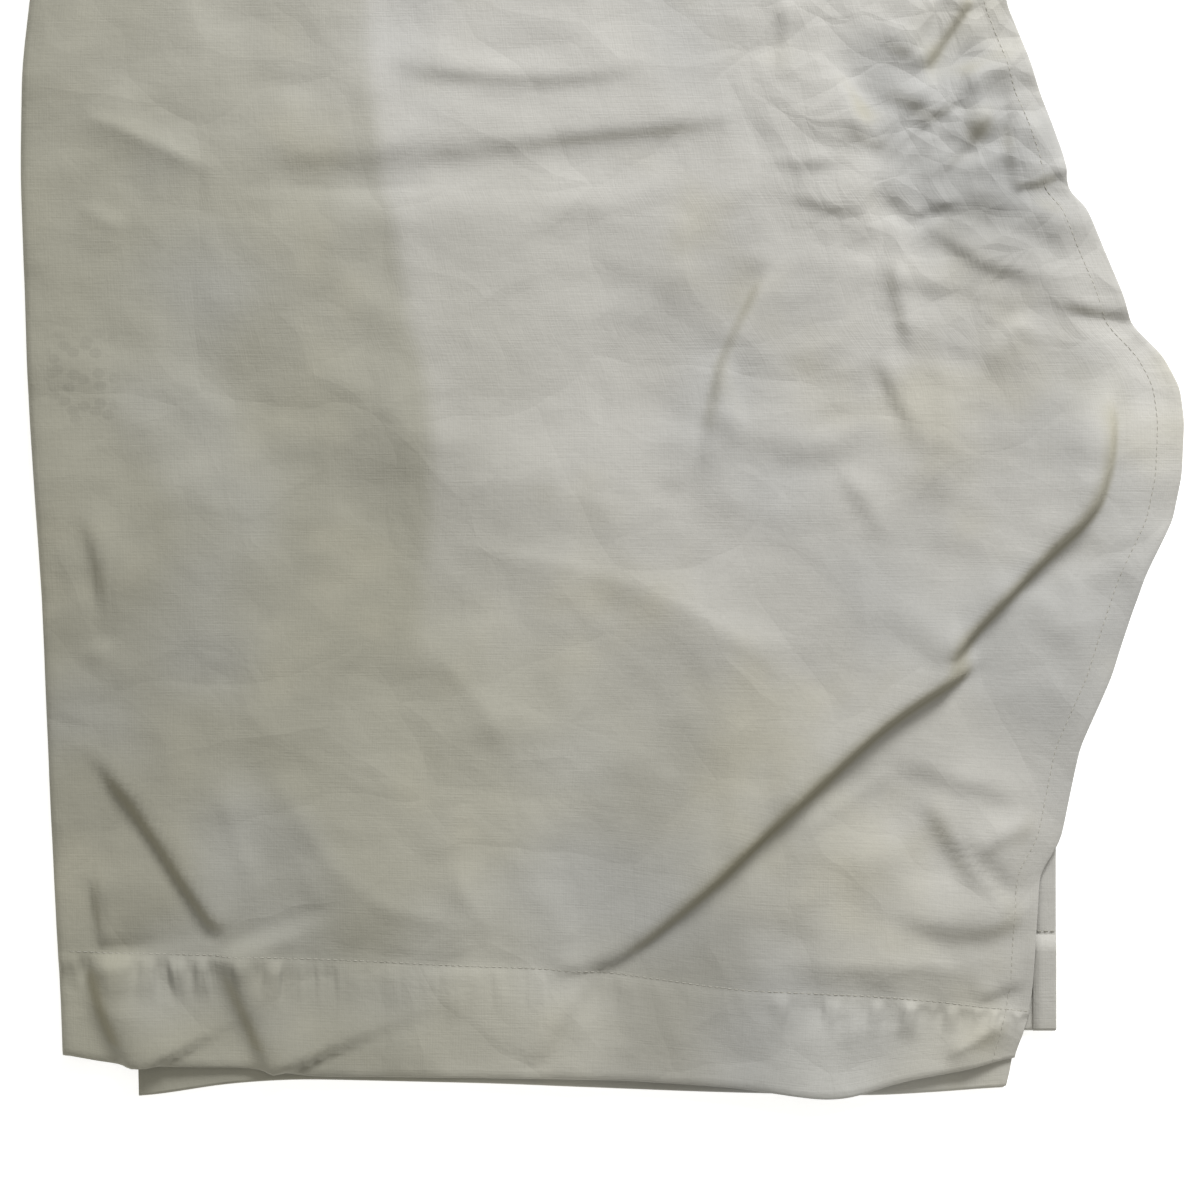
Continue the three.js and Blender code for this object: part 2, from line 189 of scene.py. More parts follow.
class Ripple:
    """Smooth noise from -1 to 1 over the plan, the same for the same seed."""

    def __init__(self, seed):
        rng = np.random.RandomState(seed)
        self.angles = rng.uniform(0, 2 * math.pi, (LATTICE, LATTICE))

    def corner(self, i, j, u, v):
        a = self.angles[i % LATTICE, j % LATTICE]
        return np.cos(a) * u + np.sin(a) * v

    def at(self, x, y):
        i, j = np.floor(x).astype(int), np.floor(y).astype(int)
        u, v = x - i, y - j
        su, sv = u * u * u * (u * (u * 6 - 15) + 10), v * v * v * (v * (v * 6 - 15) + 10)
        low = self.corner(i, j, u, v) * (1 - su) + self.corner(i + 1, j, u - 1, v) * su
        high = self.corner(i, j + 1, u, v - 1) * (1 - su) + self.corner(i + 1, j + 1, u - 1, v - 1) * su
        return 1.5 * (low * (1 - sv) + high * sv)

    def layered(self, x, y, octaves):
        total, weight = np.zeros_like(x), 1.0
        for octave in range(octaves):
            turn = 0.6 + 1.1 * octave
            c, s, scale = math.cos(turn), math.sin(turn), 2.03**octave
            total = total + weight * self.at(
                (x * c - y * s) * scale + 17 * octave + 90, (x * s + y * c) * scale + 31 * octave + 90
            )
            weight *= 0.5
        return total


def facets(x, y, seed, size, waves=6):
    """Flat facets meeting at straight creases, like crumpled cloth that has been pressed. From -1 to 1."""
    rng = np.random.RandomState(seed)
    where, total = Ripple(seed + 1), np.zeros_like(x)
    for wave in range(waves):
        turn, long = rng.uniform(0, math.pi), size * rng.uniform(0.7, 1.7)
        bend = 0.30 * where.at(x / size * 0.30 + 7 * wave + 40, y / size * 0.30 + 40)
        t = (x * math.cos(turn) + y * math.sin(turn)) / long + rng.uniform(0, 1) + bend
        tent = 4 * np.abs(t - np.floor(t + 0.5)) - 1
        share = ease(0.5 + 1.1 * where.at(x / size * 0.4 + 60, y / size * 0.4 + 13 * wave + 20))
        total += tent * share
    return total / math.sqrt(waves)


def ease(t):
    t = np.clip(t, 0, 1)
    return t * t * (3 - 2 * t)


def patch(x, y, centre, reach):
    """1 at the centre of an ellipse, falling smoothly to 0 at its reach. In millimetres of the plan."""
    d = np.hypot((x / MM - centre[0]) / reach[0], (y / MM - centre[1]) / reach[1])
    return ease(1 - d)


# ---- outlines of the cloth as it lies ------------------------------------------------------------
def knots(y, places, soft=26):
    """A smooth line through a few (place, offset) pairs, in millimetres, rounded over the soft distance."""
    at, value = np.array(places, float).T
    fine = np.linspace(at[0], at[-1], 900)
    line = np.interp(fine, at, value)
    reach = max(1, int(round(soft / (fine[1] - fine[0]))))
    kernel = np.hanning(2 * reach + 3)
    padded = np.pad(line, reach + 1, mode="edge")
    smooth = np.convolve(padded, kernel / kernel.sum(), mode="valid")
    return np.interp(y / MM, fine, smooth) * MM


def fold_line(y):
    """How far the lengthwise fold strays from its straight line."""
    return knots(y, [(-20, 0.6), (10, -0.2), (100, -5), (220, -10), (310, -16), (420, -20), (470, -19),
                     (500, -15), (560, -9), (640, -4), (800, -1), (1010, 0)])


def armhole(y, pull):
    """The armhole's edge: one curve from the side seam to the top of the bib, drawn in toward its corner."""
    t = np.linspace(0, 1, 200)
    corner_x = HALF_WIDTH + (BIB_TOP_WIDTH - HALF_WIDTH) * pull
    corner_y = APRON_LENGTH + (ARMHOLE_FOOT - APRON_LENGTH) * pull
    x = (1 - t) ** 2 * HALF_WIDTH + 2 * t * (1 - t) * corner_x + t**2 * BIB_TOP_WIDTH
    up = (1 - t) ** 2 * ARMHOLE_FOOT + 2 * t * (1 - t) * corner_y + t**2 * APRON_LENGTH
    return np.interp(y, up, x)


def front_side(y, pull):
    """The front half's free edge: side seam, then the scooped armhole."""
    seam = knots(y, [(-20, 447), (2, 447.5), (22, 451), (61, 456), (106, 459), (120, 469), (155, 478),
                     (183, 493), (228, 509), (254, 522), (275, 526), (300, 527), (316, 525), (331, 517),
                     (345, 502.5), (358, 498.5), (402, 480.5), (408, 473), (417, 471.5), (424, 470.5),
                     (451, 460), (475, 452), (498, 443), (540, 444), (600, 449), (640, 450), (1010, 450)],
                 soft=6)
    return np.where(y > ARMHOLE_FOOT, armhole(y, pull), seam)


def hem_edge(x):
    """Height of the front half's bottom edge."""
    return knots(x, [(-30, 6), (0, 4.5), (10, 1.5), (24, -1.2), (48, -2.4), (95, -3), (112, -7), (234, -8),
                     (262, -8.6), (290, -10.5), (318, -12.2), (335, -15), (350, -17.2), (364, -18.6),
                     (376, -17.5), (386, -11), (413, -6.5), (434, -2.8), (448, 2.5), (480, 3)])


def hem_seam(x):
    """Height of the row of stitches along the front half's hem."""
    return knots(x, [(-30, 52), (0, 51.5), (80, 49.5), (160, 46), (253, 42), (300, 35), (320, 32.5),
                     (385, 30), (415, 27), (449, 22.5), (480, 20)])


# ---- creases -------------------------------------------------------------------------------------
class Crease:
    """A fold in the cloth along a few points of the plan, in millimetres.

    lip: the left-hand side lies over the right-hand side. ridge: a sharp crest. swell: a round one.
    """

    def __init__(self, kind, height, width, *points, taper=(0.25, 0.25), lean=0.0, blunt=0.10):
        self.kind, self.height, self.width, self.blunt = kind, height, width, blunt
        self.points = self.rounded(np.array(points, float))
        self.taper, self.lean = taper, lean

    @staticmethod
    def rounded(points):
        """Corners cut twice, so the fold runs in a smooth line."""
        for _ in range(2):
            if len(points) < 3:
                break
            a, b = points[:-1], points[1:]
            inner = np.stack([0.75 * a + 0.25 * b, 0.25 * a + 0.75 * b], 1).reshape(-1, 2)
            points = np.vstack([points[:1], inner[1:-1], points[-1:]])
        return points

    def near(self, x, y):
        """Signed distance to the line, positive on its right, how far along it, and its direction."""
        best = np.full(x.shape, 1e9)
        signed, along = np.zeros(x.shape), np.zeros(x.shape)
        dir_x, dir_y = np.zeros(x.shape), np.ones(x.shape)
        steps = np.diff(self.points, axis=0)
        lengths = np.hypot(steps[:, 0], steps[:, 1])
        total, done = lengths.sum(), 0.0
        for start, step, length in zip(self.points, steps, lengths):
            tx, ty = step / length
            px, py = x - start[0], y - start[1]
            t = np.clip(px * tx + py * ty, 0, length)
            dx, dy = px - t * tx, py - t * ty
            d = np.hypot(dx, dy)
            closer = d < best
            best = np.where(closer, d, best)
            signed = np.where(closer, np.sign(px * ty - py * tx) * d, signed)
            along = np.where(closer, (done + t) / total, along)
            dir_x, dir_y = np.where(closer, tx, dir_x), np.where(closer, ty, dir_y)
            done += length
        return signed, along, dir_x, dir_y

    def strength(self, along):
        rise = ease(along / max(self.taper[0], 1e-3))
        return rise * ease((1 - along) / max(self.taper[1], 1e-3))

    def add(self, x, y, lift, shift_x, shift_y):
        """Adds this fold to the cloth's height and to its sideways shift. Plan in metres."""
        px, py = x / MM, y / MM
        d, along, tx, ty = self.near(px, py)
        power = self.strength(along)
        w = self.width
        if self.kind == "lip":
            over = 1 / (1 + np.exp(np.clip(d / max(self.blunt * w, 1.3), -40, 40)))
            high = np.exp(-np.abs(np.minimum(d, 0)) / (2.2 * w)) * over
            low = np.exp(-np.maximum(d, 0) / (1.3 * w)) * (1 - over)
            profile = high - 0.45 * low
            push = self.lean * np.exp(-((d + 0.3 * w) / (0.5 * w)) ** 2)
        elif self.kind == "ridge":
            profile = np.exp(-np.abs(d) / w)
            push = self.lean * np.exp(-((d / w) ** 2))
        else:
            profile = np.exp(-((d / w) ** 2))
            push = self.lean * profile
        lift += self.height * MM * power * profile
        shift_x += ty * push * power * MM
        shift_y += -tx * push * power * MM


def lip(height, width, *points, **more):
    return Crease("lip", height, width, *points, **more)


def ridge(height, width, *points, **more):
    return Crease("ridge", height, width, *points, **more)


def swell(height, width, *points, **more):
    return Crease("swell", height, width, *points, **more)


FRONT_FOLDS = [
    # the long diagonal fold, in two overlapping runs
    lip(8.6, 9, (238, 42), (254, 43), (268, 51), (300, 78), (328, 106), (361, 136), (385, 158), (415, 178),
        (436, 189), taper=(0.42, 0.10), lean=3.0),
    lip(3.0, 4, (226, 41), (246, 42), (262, 48), (284, 65), (316, 95), taper=(0.12, 0.6), lean=0.8),
    lip(1.6, 6, (222, -4), (236, 18), (254, 42), taper=(0.1, 0.1)),
    lip(7.6, 8, (411, 181), (424, 198), (441, 216), (464, 240), (482, 256), (489, 272), (492, 292),
        (494, 324), taper=(0.1, 0.24), lean=2.4),
    ridge(1.8, 5, (345, 105), (364, 118), (392, 138), taper=(0.3, 0.2)),
    # diagonal folds at the left of the hem
    lip(4.8, 9, (6, 150), (22, 134), (41, 110), (60, 80), (79, 52), taper=(0.3, 0.15), lean=1.8, blunt=0.16),
    lip(9.0, 12, (74, 53), (82, 34), (91, 14), (100, -8), taper=(0.16, 0.02), lean=2.6, blunt=0.34),
    lip(3.6, 6, (14, 92), (18, 70), (20, 50), taper=(0.35, 0.2), lean=1.2, blunt=0.2),
    lip(8.2, 10, (15, 52), (19, 28), (27, 8), (35, -8), taper=(0.16, 0.02), lean=2.4, blunt=0.32),
    ridge(1.6, 5, (30, 47), (33, 28), taper=(0.1, 0.5)),
    ridge(1.6, 5, (57, 47), (60, 26), taper=(0.1, 0.5)),
    ridge(1.4, 5, (68, 47), (70, 28), taper=(0.1, 0.5)),
    ridge(1.4, 5, (110, 46), (112, 26), taper=(0.1, 0.5)),
    ridge(1.8, 6, (182, 44), (186, 14), taper=(0.1, 0.4)),
    ridge(1.6, 5, (370, 27), (372, 4), taper=(0.1, 0.5)),
    ridge(1.6, 5, (396, 27), (400, 6), taper=(0.1, 0.5)),
    ridge(1.4, 5, (334, 30), (346, 12), taper=(0.1, 0.5)),
    lip(3.6, 7, (4, 262), (14, 246), (19, 224), (21, 196), taper=(0.4, 0.45), lean=1.2),
    ridge(1.6, 6, (21, 198), (14, 184), taper=(0.4, 0.4)),
    # slack across the top
    lip(2.8, 12, (140, 469), (187, 461), (215, 457), (246, 459), (284, 467), taper=(0.35, 0.4), blunt=0.22),
    lip(3.6, 18, (56, 420), (126, 421), (206, 428), (253, 433), (330, 441), taper=(0.4, 0.2), blunt=0.18),
    lip(0.9, 4, (190, 429), (253, 434), (330, 442), taper=(0.4, 0.3)),
    lip(0.8, 4, (146, 467), (190, 461), (246, 460), (282, 466), taper=(0.3, 0.3)),
    ridge(-1.6, 10, (70, 412), (140, 408), (206, 414), taper=(0.4, 0.4)),
    ridge(3.0, 9, (3, 447), (37, 432), (77, 414), taper=(0.3, 0.3), lean=-0.8),
    ridge(2.0, 7, (8, 402), (30, 388), taper=(0.3, 0.3)),
    swell(2.4, 16, (86, 384), (131, 400), (215, 400), (254, 392), taper=(0.4, 0.4)),
    # pressed lines left from an older folding
    ridge(1.5, 26, (150, 196), (158, 330), (166, 500), taper=(0.2, 0.1)),
    ridge(1.1, 20, (316, 370), (318, 430), (320, 500), taper=(0.3, 0.1)),
    ridge(0.8, 16, (215, 44), (216, 80), (217, 120), taper=(0.2, 0.4)),
    # broad slack running down to the right
    swell(3.4, 26, (62, 336), (168, 294), (253, 263), (292, 241), taper=(0.4, 0.4)),
    ridge(2.2, 16, (143, 248), (253, 231), (319, 198), (363, 160), taper=(0.4, 0.35)),
    ridge(2.4, 13, (158, 208), (201, 165), (217, 128), taper=(0.4, 0.35)),
    ridge(2.4, 12, (96, 140), (112, 112), (142, 72), taper=(0.3, 0.3)),
    ridge(2.0, 10, (73, 133), (93, 74), taper=(0.3, 0.3)),
    ridge(1.9, 9, (130, 92), (150, 70), (196, 62), taper=(0.4, 0.4)),
    ridge(2.0, 9, (182, 96), (190, 74), (204, 58), taper=(0.4, 0.3)),
    ridge(1.4, 8, (112, 96), (124, 66), taper=(0.4, 0.4)),
    # lower right, inside the corner
    lip(2.6, 4, (392, 139), (420, 129), (447, 122), (459, 113), taper=(0.2, 0.3), blunt=0.42),
    lip(4.2, 12, (372, 80), (393, 66), (413, 60), (436, 59), (453, 66), (460, 82), taper=(0.5, 0.3),
        blunt=0.22),
    lip(4.6, 8, (400, 124), (411, 110), (419, 98), (431, 76), taper=(0.35, 0.35), blunt=0.25),
    lip(3.4, 5, (424, 97), (438, 101), (460, 111), taper=(0.15, 0.3), blunt=0.42),
    lip(3.2, 5, (428, 97), (440, 91), (450, 77), taper=(0.15, 0.3), blunt=0.42),
    swell(2.6, 16, (360, 92), (384, 96), (404, 90), taper=(0.4, 0.4)),
    swell(-2.2, 14, (318, 74), (340, 60), (352, 44), taper=(0.4, 0.4)),
    ridge(3.4, 6, (414, 0), (436, 12), (454, 27), taper=(0.2, 0.3), lean=-0.6),
    lip(3.0, 6, (428, 26), (440, 32), (456, 36), taper=(0.3, 0.3), lean=0.6),
    ridge(2.0, 7, (330, 46), (366, 42), (404, 46), (436, 38), taper=(0.4, 0.3)),
    # fans below the crumpled corner
    lip(4.0, 8, (334, 378), (322, 352), (311, 330), (305, 305), (302, 280), (295, 240), taper=(0.15, 0.6),
        lean=0.9, blunt=0.16),
    lip(2.4, 7, (322, 288), (315, 312), (313, 334), taper=(0.4, 0.3)),
    ridge(2.0, 10, (300, 300), (284, 262), taper=(0.3, 0.4)),
    lip(1.7, 8, (326, 421), (350, 419), (374, 421), taper=(0.4, 0.4), blunt=0.16),
    lip(1.9, 8, (338, 406), (358, 399), (376, 396), taper=(0.4, 0.4), blunt=0.16),
    lip(2.0, 8, (362, 280), (374, 262), (388, 240), taper=(0.3, 0.4)),
    lip(2.8, 7, (381, 332), (391, 310), (403, 286), taper=(0.3, 0.4)),
    lip(3.0, 7, (387, 380), (392, 352), (400, 324), taper=(0.3, 0.4)),
    lip(2.0, 7, (452, 352), (438, 336), (430, 318), taper=(0.2, 0.5)),
    ridge(2.2, 10, (430, 330), (416, 300), (408, 262), taper=(0.4, 0.4)),
    ridge(2.6, 9, (470, 240), (478, 214), (470, 190), taper=(0.4, 0.4)),
    lip(1.6, 7, (494, 236), (503, 222), (505, 206), taper=(0.3, 0.3)),
    # the crumpled corner
    lip(3.6, 14, (386, 382), (378, 408), (379, 438), (366, 458), (361, 482), taper=(0.25, 0.3), blunt=0.2),
    lip(5.0, 8, (400, 461), (410, 474), (418, 486), (428, 500), taper=(0.22, 0.1), lean=1.4),
    lip(2.8, 7, (392, 466), (404, 482), (412, 500), taper=(0.35, 0.1), lean=0.8),
    lip(2.8, 8, (398, 398), (410, 387), (421, 379), (438, 369), (474, 366), taper=(0.3, 0.4), blunt=0.2),
    lip(3.2, 9, (456, 359), (484, 351), (506, 350), taper=(0.5, 0.05), lean=0.8, blunt=0.16),
    lip(2.6, 7, (443, 470), (446, 445), (445, 420), (454, 394), taper=(0.25, 0.4), lean=0.8),
    lip(2.4, 6, (438, 406), (454, 411), (473, 418), taper=(0.5, 0.02), lean=1.0),
    lip(2.8, 7, (382, 418), (400, 436), (420, 450), (432, 462), taper=(0.3, 0.3), lean=0.8),
    lip(3.0, 5, (380, 424), (394, 441), (404, 452), (414, 458), taper=(0.2, 0.3), lean=0.8),
    lip(2.6, 5, (404, 412), (418, 420), (430, 436), (440, 452), taper=(0.25, 0.25), lean=0.6),
    lip(3.0, 6, (396, 392), (406, 400), (426, 402), taper=(0.2, 0.4), lean=0.6),
    ridge(3.0, 7, (412, 426), (404, 440), (410, 458), taper=(0.3, 0.3)),
    ridge(2.8, 7, (424, 470), (432, 452), (428, 430), taper=(0.3, 0.3)),
    ridge(3.0, 8, (360, 466), (372, 450), (376, 426), taper=(0.3, 0.3)),
    lip(2.2, 7, (336, 500), (340, 478), (330, 462), taper=(0.2, 0.4)),
    ridge(2.4, 8, (456, 470), (452, 446), (458, 428), taper=(0.3, 0.3)),
]


def front_relief(x, y, cloth):
    """Height of the front half over its flat rest, and the sideways shift of its folds."""
    lift, shift_x, shift_y = np.zeros(x.shape), np.zeros(x.shape), np.zeros(x.shape)
    for crease in FRONT_FOLDS:
        crease.add(x, y, lift, shift_x, shift_y)
    broad, mid = Ripple(11), Ripple(23)
    wx, wy = x + 0.02 * mid.at(x * 9 + 40, y * 9 + 40), y + 0.02 * mid.at(x * 9 + 80, y * 9 + 10)
    lift += cloth.slack * broad.layered(wx * 8 + 20, wy * 9 + 20, 3)
    creased = 1 - 2 * np.abs(broad.layered(wx * 14 + 60, wy * 11 + 30, 2))
    lift += cloth.slack * 0.32 * np.maximum(creased, -0.2)
    lift += 0.26 * MM * mid.layered(x * 40 + 60, y * 50 + 60, 3)
    rough = np.maximum(patch(x, y, (442, 440), (130, 150)), 0.55 * patch(x, y, (380, 330), (140, 130)))
    rough = np.maximum(rough, 0.6 * patch(x, y, (480, 270), (75, 130)))
    rough = np.maximum(rough, 0.5 * patch(x, y, (425, 90), (80, 80)))
    lift += cloth.slack * 0.30 * facets(wx, wy, 5, 95 * MM)
    lift += cloth.slack * 0.10 * facets(wx, wy, 6, 34 * MM)
    lift += cloth.crumple * 0.42 * rough * facets(wx, wy, 7, 46 * MM)
    lift += cloth.crumple * 0.24 * rough * facets(wx, wy, 8, 22 * MM)
    sharp = 1 - 2 * np.abs(mid.layered(wx * 24 + 50, wy * 24 + 50, 2))
    lift += cloth.crumple * 0.10 * rough * sharp
    lift += 2.4 * MM * rough
    return lift, shift_x, shift_y


def hem_relief(x, under):
    """The raised double cloth of the bottom hem and its gathers. under is the distance below the seam."""
    gather = Ripple(53)
    inside = ease(under / (2.5 * MM)) * ease((HEM_DEPTH + 3 * MM - under) / (4 * MM))
    power = knots(x, [(0, 1.0), (110, 1.0), (150, 0.4), (330, 0.35), (370, 1.0), (450, 1.2)]) / MM
    wave = gather.at(x * 62 + 50, np.maximum(under, 0) * 14 + 3)
    gathers = wave * power * np.exp(-np.maximum(under, 0) / (14 * MM))
    groove = -np.exp(-((under - 0.4 * MM) / (1.6 * MM)) ** 2)
    above = np.exp(-np.maximum(-under, 0) / (7 * MM)) * (under < 0)
    return MM * (0.45 * inside + 0.9 * gathers * inside + 0.35 * groove + 0.35 * wave * power * above)


# ---- meshes --------------------------------------------------------------------------------------
def grid_mesh(name, points, flat_u, flat_v):
    """A mesh from a grid of points, with a UV map in metres of the flat cloth."""
    rows, columns = points.shape[:2]
    index = np.arange(rows * columns).reshape(rows, columns)
    quads = np.stack([index[:-1, :-1], index[:-1, 1:], index[1:, 1:], index[1:, :-1]], -1).reshape(-1, 4)
    mesh = bpy.data.meshes.new(name)
    mesh.from_pydata(points.reshape(-1, 3).tolist(), [], quads.tolist())
    mesh.polygons.foreach_set("use_smooth", [True] * len(quads))
    layer = mesh.uv_layers.new(name="Cloth")
    uv = np.stack([flat_u, flat_v], -1).reshape(-1, 2)
    loops = np.zeros(len(mesh.loops), int)
    mesh.loops.foreach_get("vertex_index", loops)
    layer.data.foreach_set("uv", uv[loops].ravel())
    mesh.update()
    piece = bpy.data.objects.new(name, mesh)
    bpy.context.scene.collection.objects.link(piece)
    return piece


def thicken(piece, thickness, offset=0.0):
    """Gives the cloth its thickness, so that the piece is a closed solid."""
    solidify = piece.modifiers.new("Cloth thickness", "SOLIDIFY")
    solidify.thickness = thickness
    solidify.offset = offset
    solidify.use_even_offset = False
    solidify.use_rim = True
    return apply_modifiers(piece)


def apply_modifiers(piece):
    evaluated = piece.evaluated_get(bpy.context.evaluated_depsgraph_get())
    mesh = bpy.data.meshes.new_from_object(evaluated)
    piece.modifiers.clear()
    old = piece.data
    piece.data = mesh
    mesh.name = old.name
    bpy.data.meshes.remove(old)
    return piece


def spaced(*runs):
    """Places along a line: each run is (start, end, step)."""
    parts = [np.linspace(a, b, max(2, int(round(abs(b - a) / step)) + 1))[:-1] for a, b, step in runs]
    return np.concatenate(parts + [[runs[-1][1]]])


def turned(past, radius):
    """Cloth turned over at an edge: how far it comes back in and how far it drops, for a distance past it."""
    past = np.maximum(past, 0)
    angle = np.minimum(past / radius, math.pi)
    back = -radius * np.sin(angle) + np.maximum(past - math.pi * radius, 0)
    return back, radius * (1 - np.cos(angle))


def over_floor(height, floor, soft):
    """Height kept above a floor, rounding off softly where it would go under."""
    over = height - floor
    return floor + 0.5 * (over + np.sqrt(over * over + soft * soft))


class Sheet:
    """A laid grid of cloth: where each point lies and where it was in the flat cloth."""

    def __init__(self, points, xi, eta, thickness):
        self.points, self.xi, self.eta, self.thickness = points, xi, eta, thickness

    def area(self):
        """Area of the cut cloth: each cell at its flat length and its real width."""
        wide = np.linalg.norm(np.diff(self.points, axis=1), axis=2)
        tall = np.diff(self.eta, axis=0)[:, 1:]
        return float((0.5 * (wide[:-1] + wide[1:]) * tall).sum())

    def size(self):
        return float(np.ptp(self.xi)), float(np.ptp(self.eta))

    def at(self, xi, eta):
        """Places on the cloth for lists of flat positions."""
        columns, rows = self.xi[0], self.eta[:, 0]
        i = np.clip(np.searchsorted(rows, eta) - 1, 0, len(rows) - 2)
        j = np.clip(np.searchsorted(columns, xi) - 1, 0, len(columns) - 2)
        v = np.clip((eta - rows[i]) / (rows[i + 1] - rows[i]), 0, 1)[:, None]
        u = np.clip((xi - columns[j]) / (columns[j + 1] - columns[j]), 0, 1)[:, None]
        p = self.points
        low = p[i, j] * (1 - u) + p[i, j + 1] * u
        high = p[i + 1, j] * (1 - u) + p[i + 1, j + 1] * u
        return low * (1 - v) + high * v


FOLD_RADIUS = 3.4 * MM
FOLD_TUCK = 24 * MM
HEM_RADIUS = 1.0 * MM
BACK_HEM_RADIUS = 0.7 * MM
SIDE_RADIUS = 0.6 * MM
LOWEST = 0.5 * MM  # height of the cloth's middle where it lies right on the floor


def front_sheet(cloth):
    """The front half, with its hems turned under and its left edge carried round the fold."""
    step = cloth.mesh_step
    half_turn = math.pi / 2 * FOLD_RADIUS
    fine = 0.72 * step
    rows = spaced((-HEM_DEPTH - 3 * MM, -4 * MM, 9 * MM), (-4 * MM, 0, 0.9 * MM), (0, 330 * MM, step),
                  (330 * MM, 500 * MM, fine), (500 * MM, 640 * MM, 6 * MM), (640 * MM, APRON_LENGTH, 11 * MM),
                  (APRON_LENGTH, APRON_LENGTH + 4 * MM, 1 * MM),
                  (APRON_LENGTH + 4 * MM, APRON_LENGTH + TOP_HEM, 9 * MM))
    across = spaced((-half_turn - FOLD_TUCK, -half_turn, 8 * MM), (-half_turn, half_turn, 1.7 * MM),
                    (half_turn, 0.6 * HALF_WIDTH, step), (0.6 * HALF_WIDTH, HALF_WIDTH, 0.85 * step),
                    (HALF_WIDTH, HALF_WIDTH + 2.2 * MM, 0.55 * MM),
                    (HALF_WIDTH + 2.2 * MM, HALF_WIDTH + cloth.side_hem, 5 * MM))
    xi, eta = np.meshgrid(across, rows)
    hem_back, hem_down = turned(-eta, HEM_RADIUS)
    top_back, top_down = turned(eta - APRON_LENGTH, HEM_RADIUS)
    side_back, side_down = turned(xi - HALF_WIDTH, SIDE_RADIUS)
    up = np.where(eta < 0, hem_back, np.where(eta > APRON_LENGTH, APRON_LENGTH - top_back, eta))
    level = np.maximum(up, 0)
    # from the fold to the free edge
    share = np.clip((xi - half_turn) / (HALF_WIDTH - half_turn), 0, 1)
    left, right = fold_line(level) + FOLD_RADIUS, front_side(level, cloth.armhole_pull)
    x = left + share * (right - left) - side_back
    low, seam = hem_edge(x), hem_seam(x)
    y_hem = low + (seam - low) * up / HEM_DEPTH
    y_cloth = up + (seam - HEM_DEPTH) * (1 - ease((up - HEM_DEPTH) / (170 * MM)))
    y = np.where(up < HEM_DEPTH, y_hem, y_cloth)
    lift, shift_x, shift_y = front_relief(x, y, cloth)
    lift += hem_relief(x, HEM_DEPTH - up)
    # lofted beside the fold, lying quieter above the waist and along the free edge
    loft = cloth.rest_height * np.exp(-np.maximum(xi - half_turn, 0) / (26 * MM))
    calm = 1 - 0.65 * ease((y - 0.505) / 0.03) * (1 - 0.75 * ease((y - 0.66) / 0.08))
    high = cloth.rest_height + 2.0 * MM * ease((y - 0.48) / 0.08)
    top = over_floor(np.maximum(high, loft) + lift * calm, 3.3 * MM, 1.2 * MM)
    top = top * (1 - 0.30 * ease((share - 0.95) / 0.05))
    # round the fold and a little way under
    turn = np.clip(xi / FOLD_RADIUS, -math.pi / 2, math.pi / 2)
    flat = xi > half_turn
    wrap = 0.5 * (1 + np.sin(turn))
    z = np.where(flat, top, top * wrap + LOWEST * (1 - wrap))
    tuck = np.maximum(-half_turn - xi, 0)
    x = np.where(flat, x, fold_line(level) + FOLD_RADIUS * (1 - np.cos(turn)) + tuck)
    z = z - (hem_down + side_down + top_down) * np.where(flat, 1.0, wrap)
    z = np.maximum(z, LOWEST)
    x = x + shift_x * flat * calm
    y = y + shift_y * flat * calm
    return Sheet(place(x, y, z), xi, eta, cloth.thickness)


def back_bottom(x):
    """Height of the back half's bottom edge, which steps up along its outer strip."""
    edge = knots(x, [(34, -17.5), (51, -15.5), (65, -12.7), (80, -10.8), (110, -9), (200, -11), (300, -15),
                     (380, -17), (420, -14.6), (443, -12.5), (470, -12)])
    edge = np.where(x < BACK_TUCK, 3 * MM, edge)
    strip = ease((x / MM - 443.5) / 6.5)
    return edge * (1 - strip) + 14 * MM * strip


def back_side(y, pull):
    """The back half's free edge."""
    drawn_in = knots(y, [(-20, 0), (330, 0), (380, -5), (430, -24), (470, -34), (500, -39), (540, -34),
                         (600, -17), (650, -16), (1010, -16)], soft=14)
    return np.where(y > ARMHOLE_FOOT, armhole(y, pull), BACK_EDGE + drawn_in)


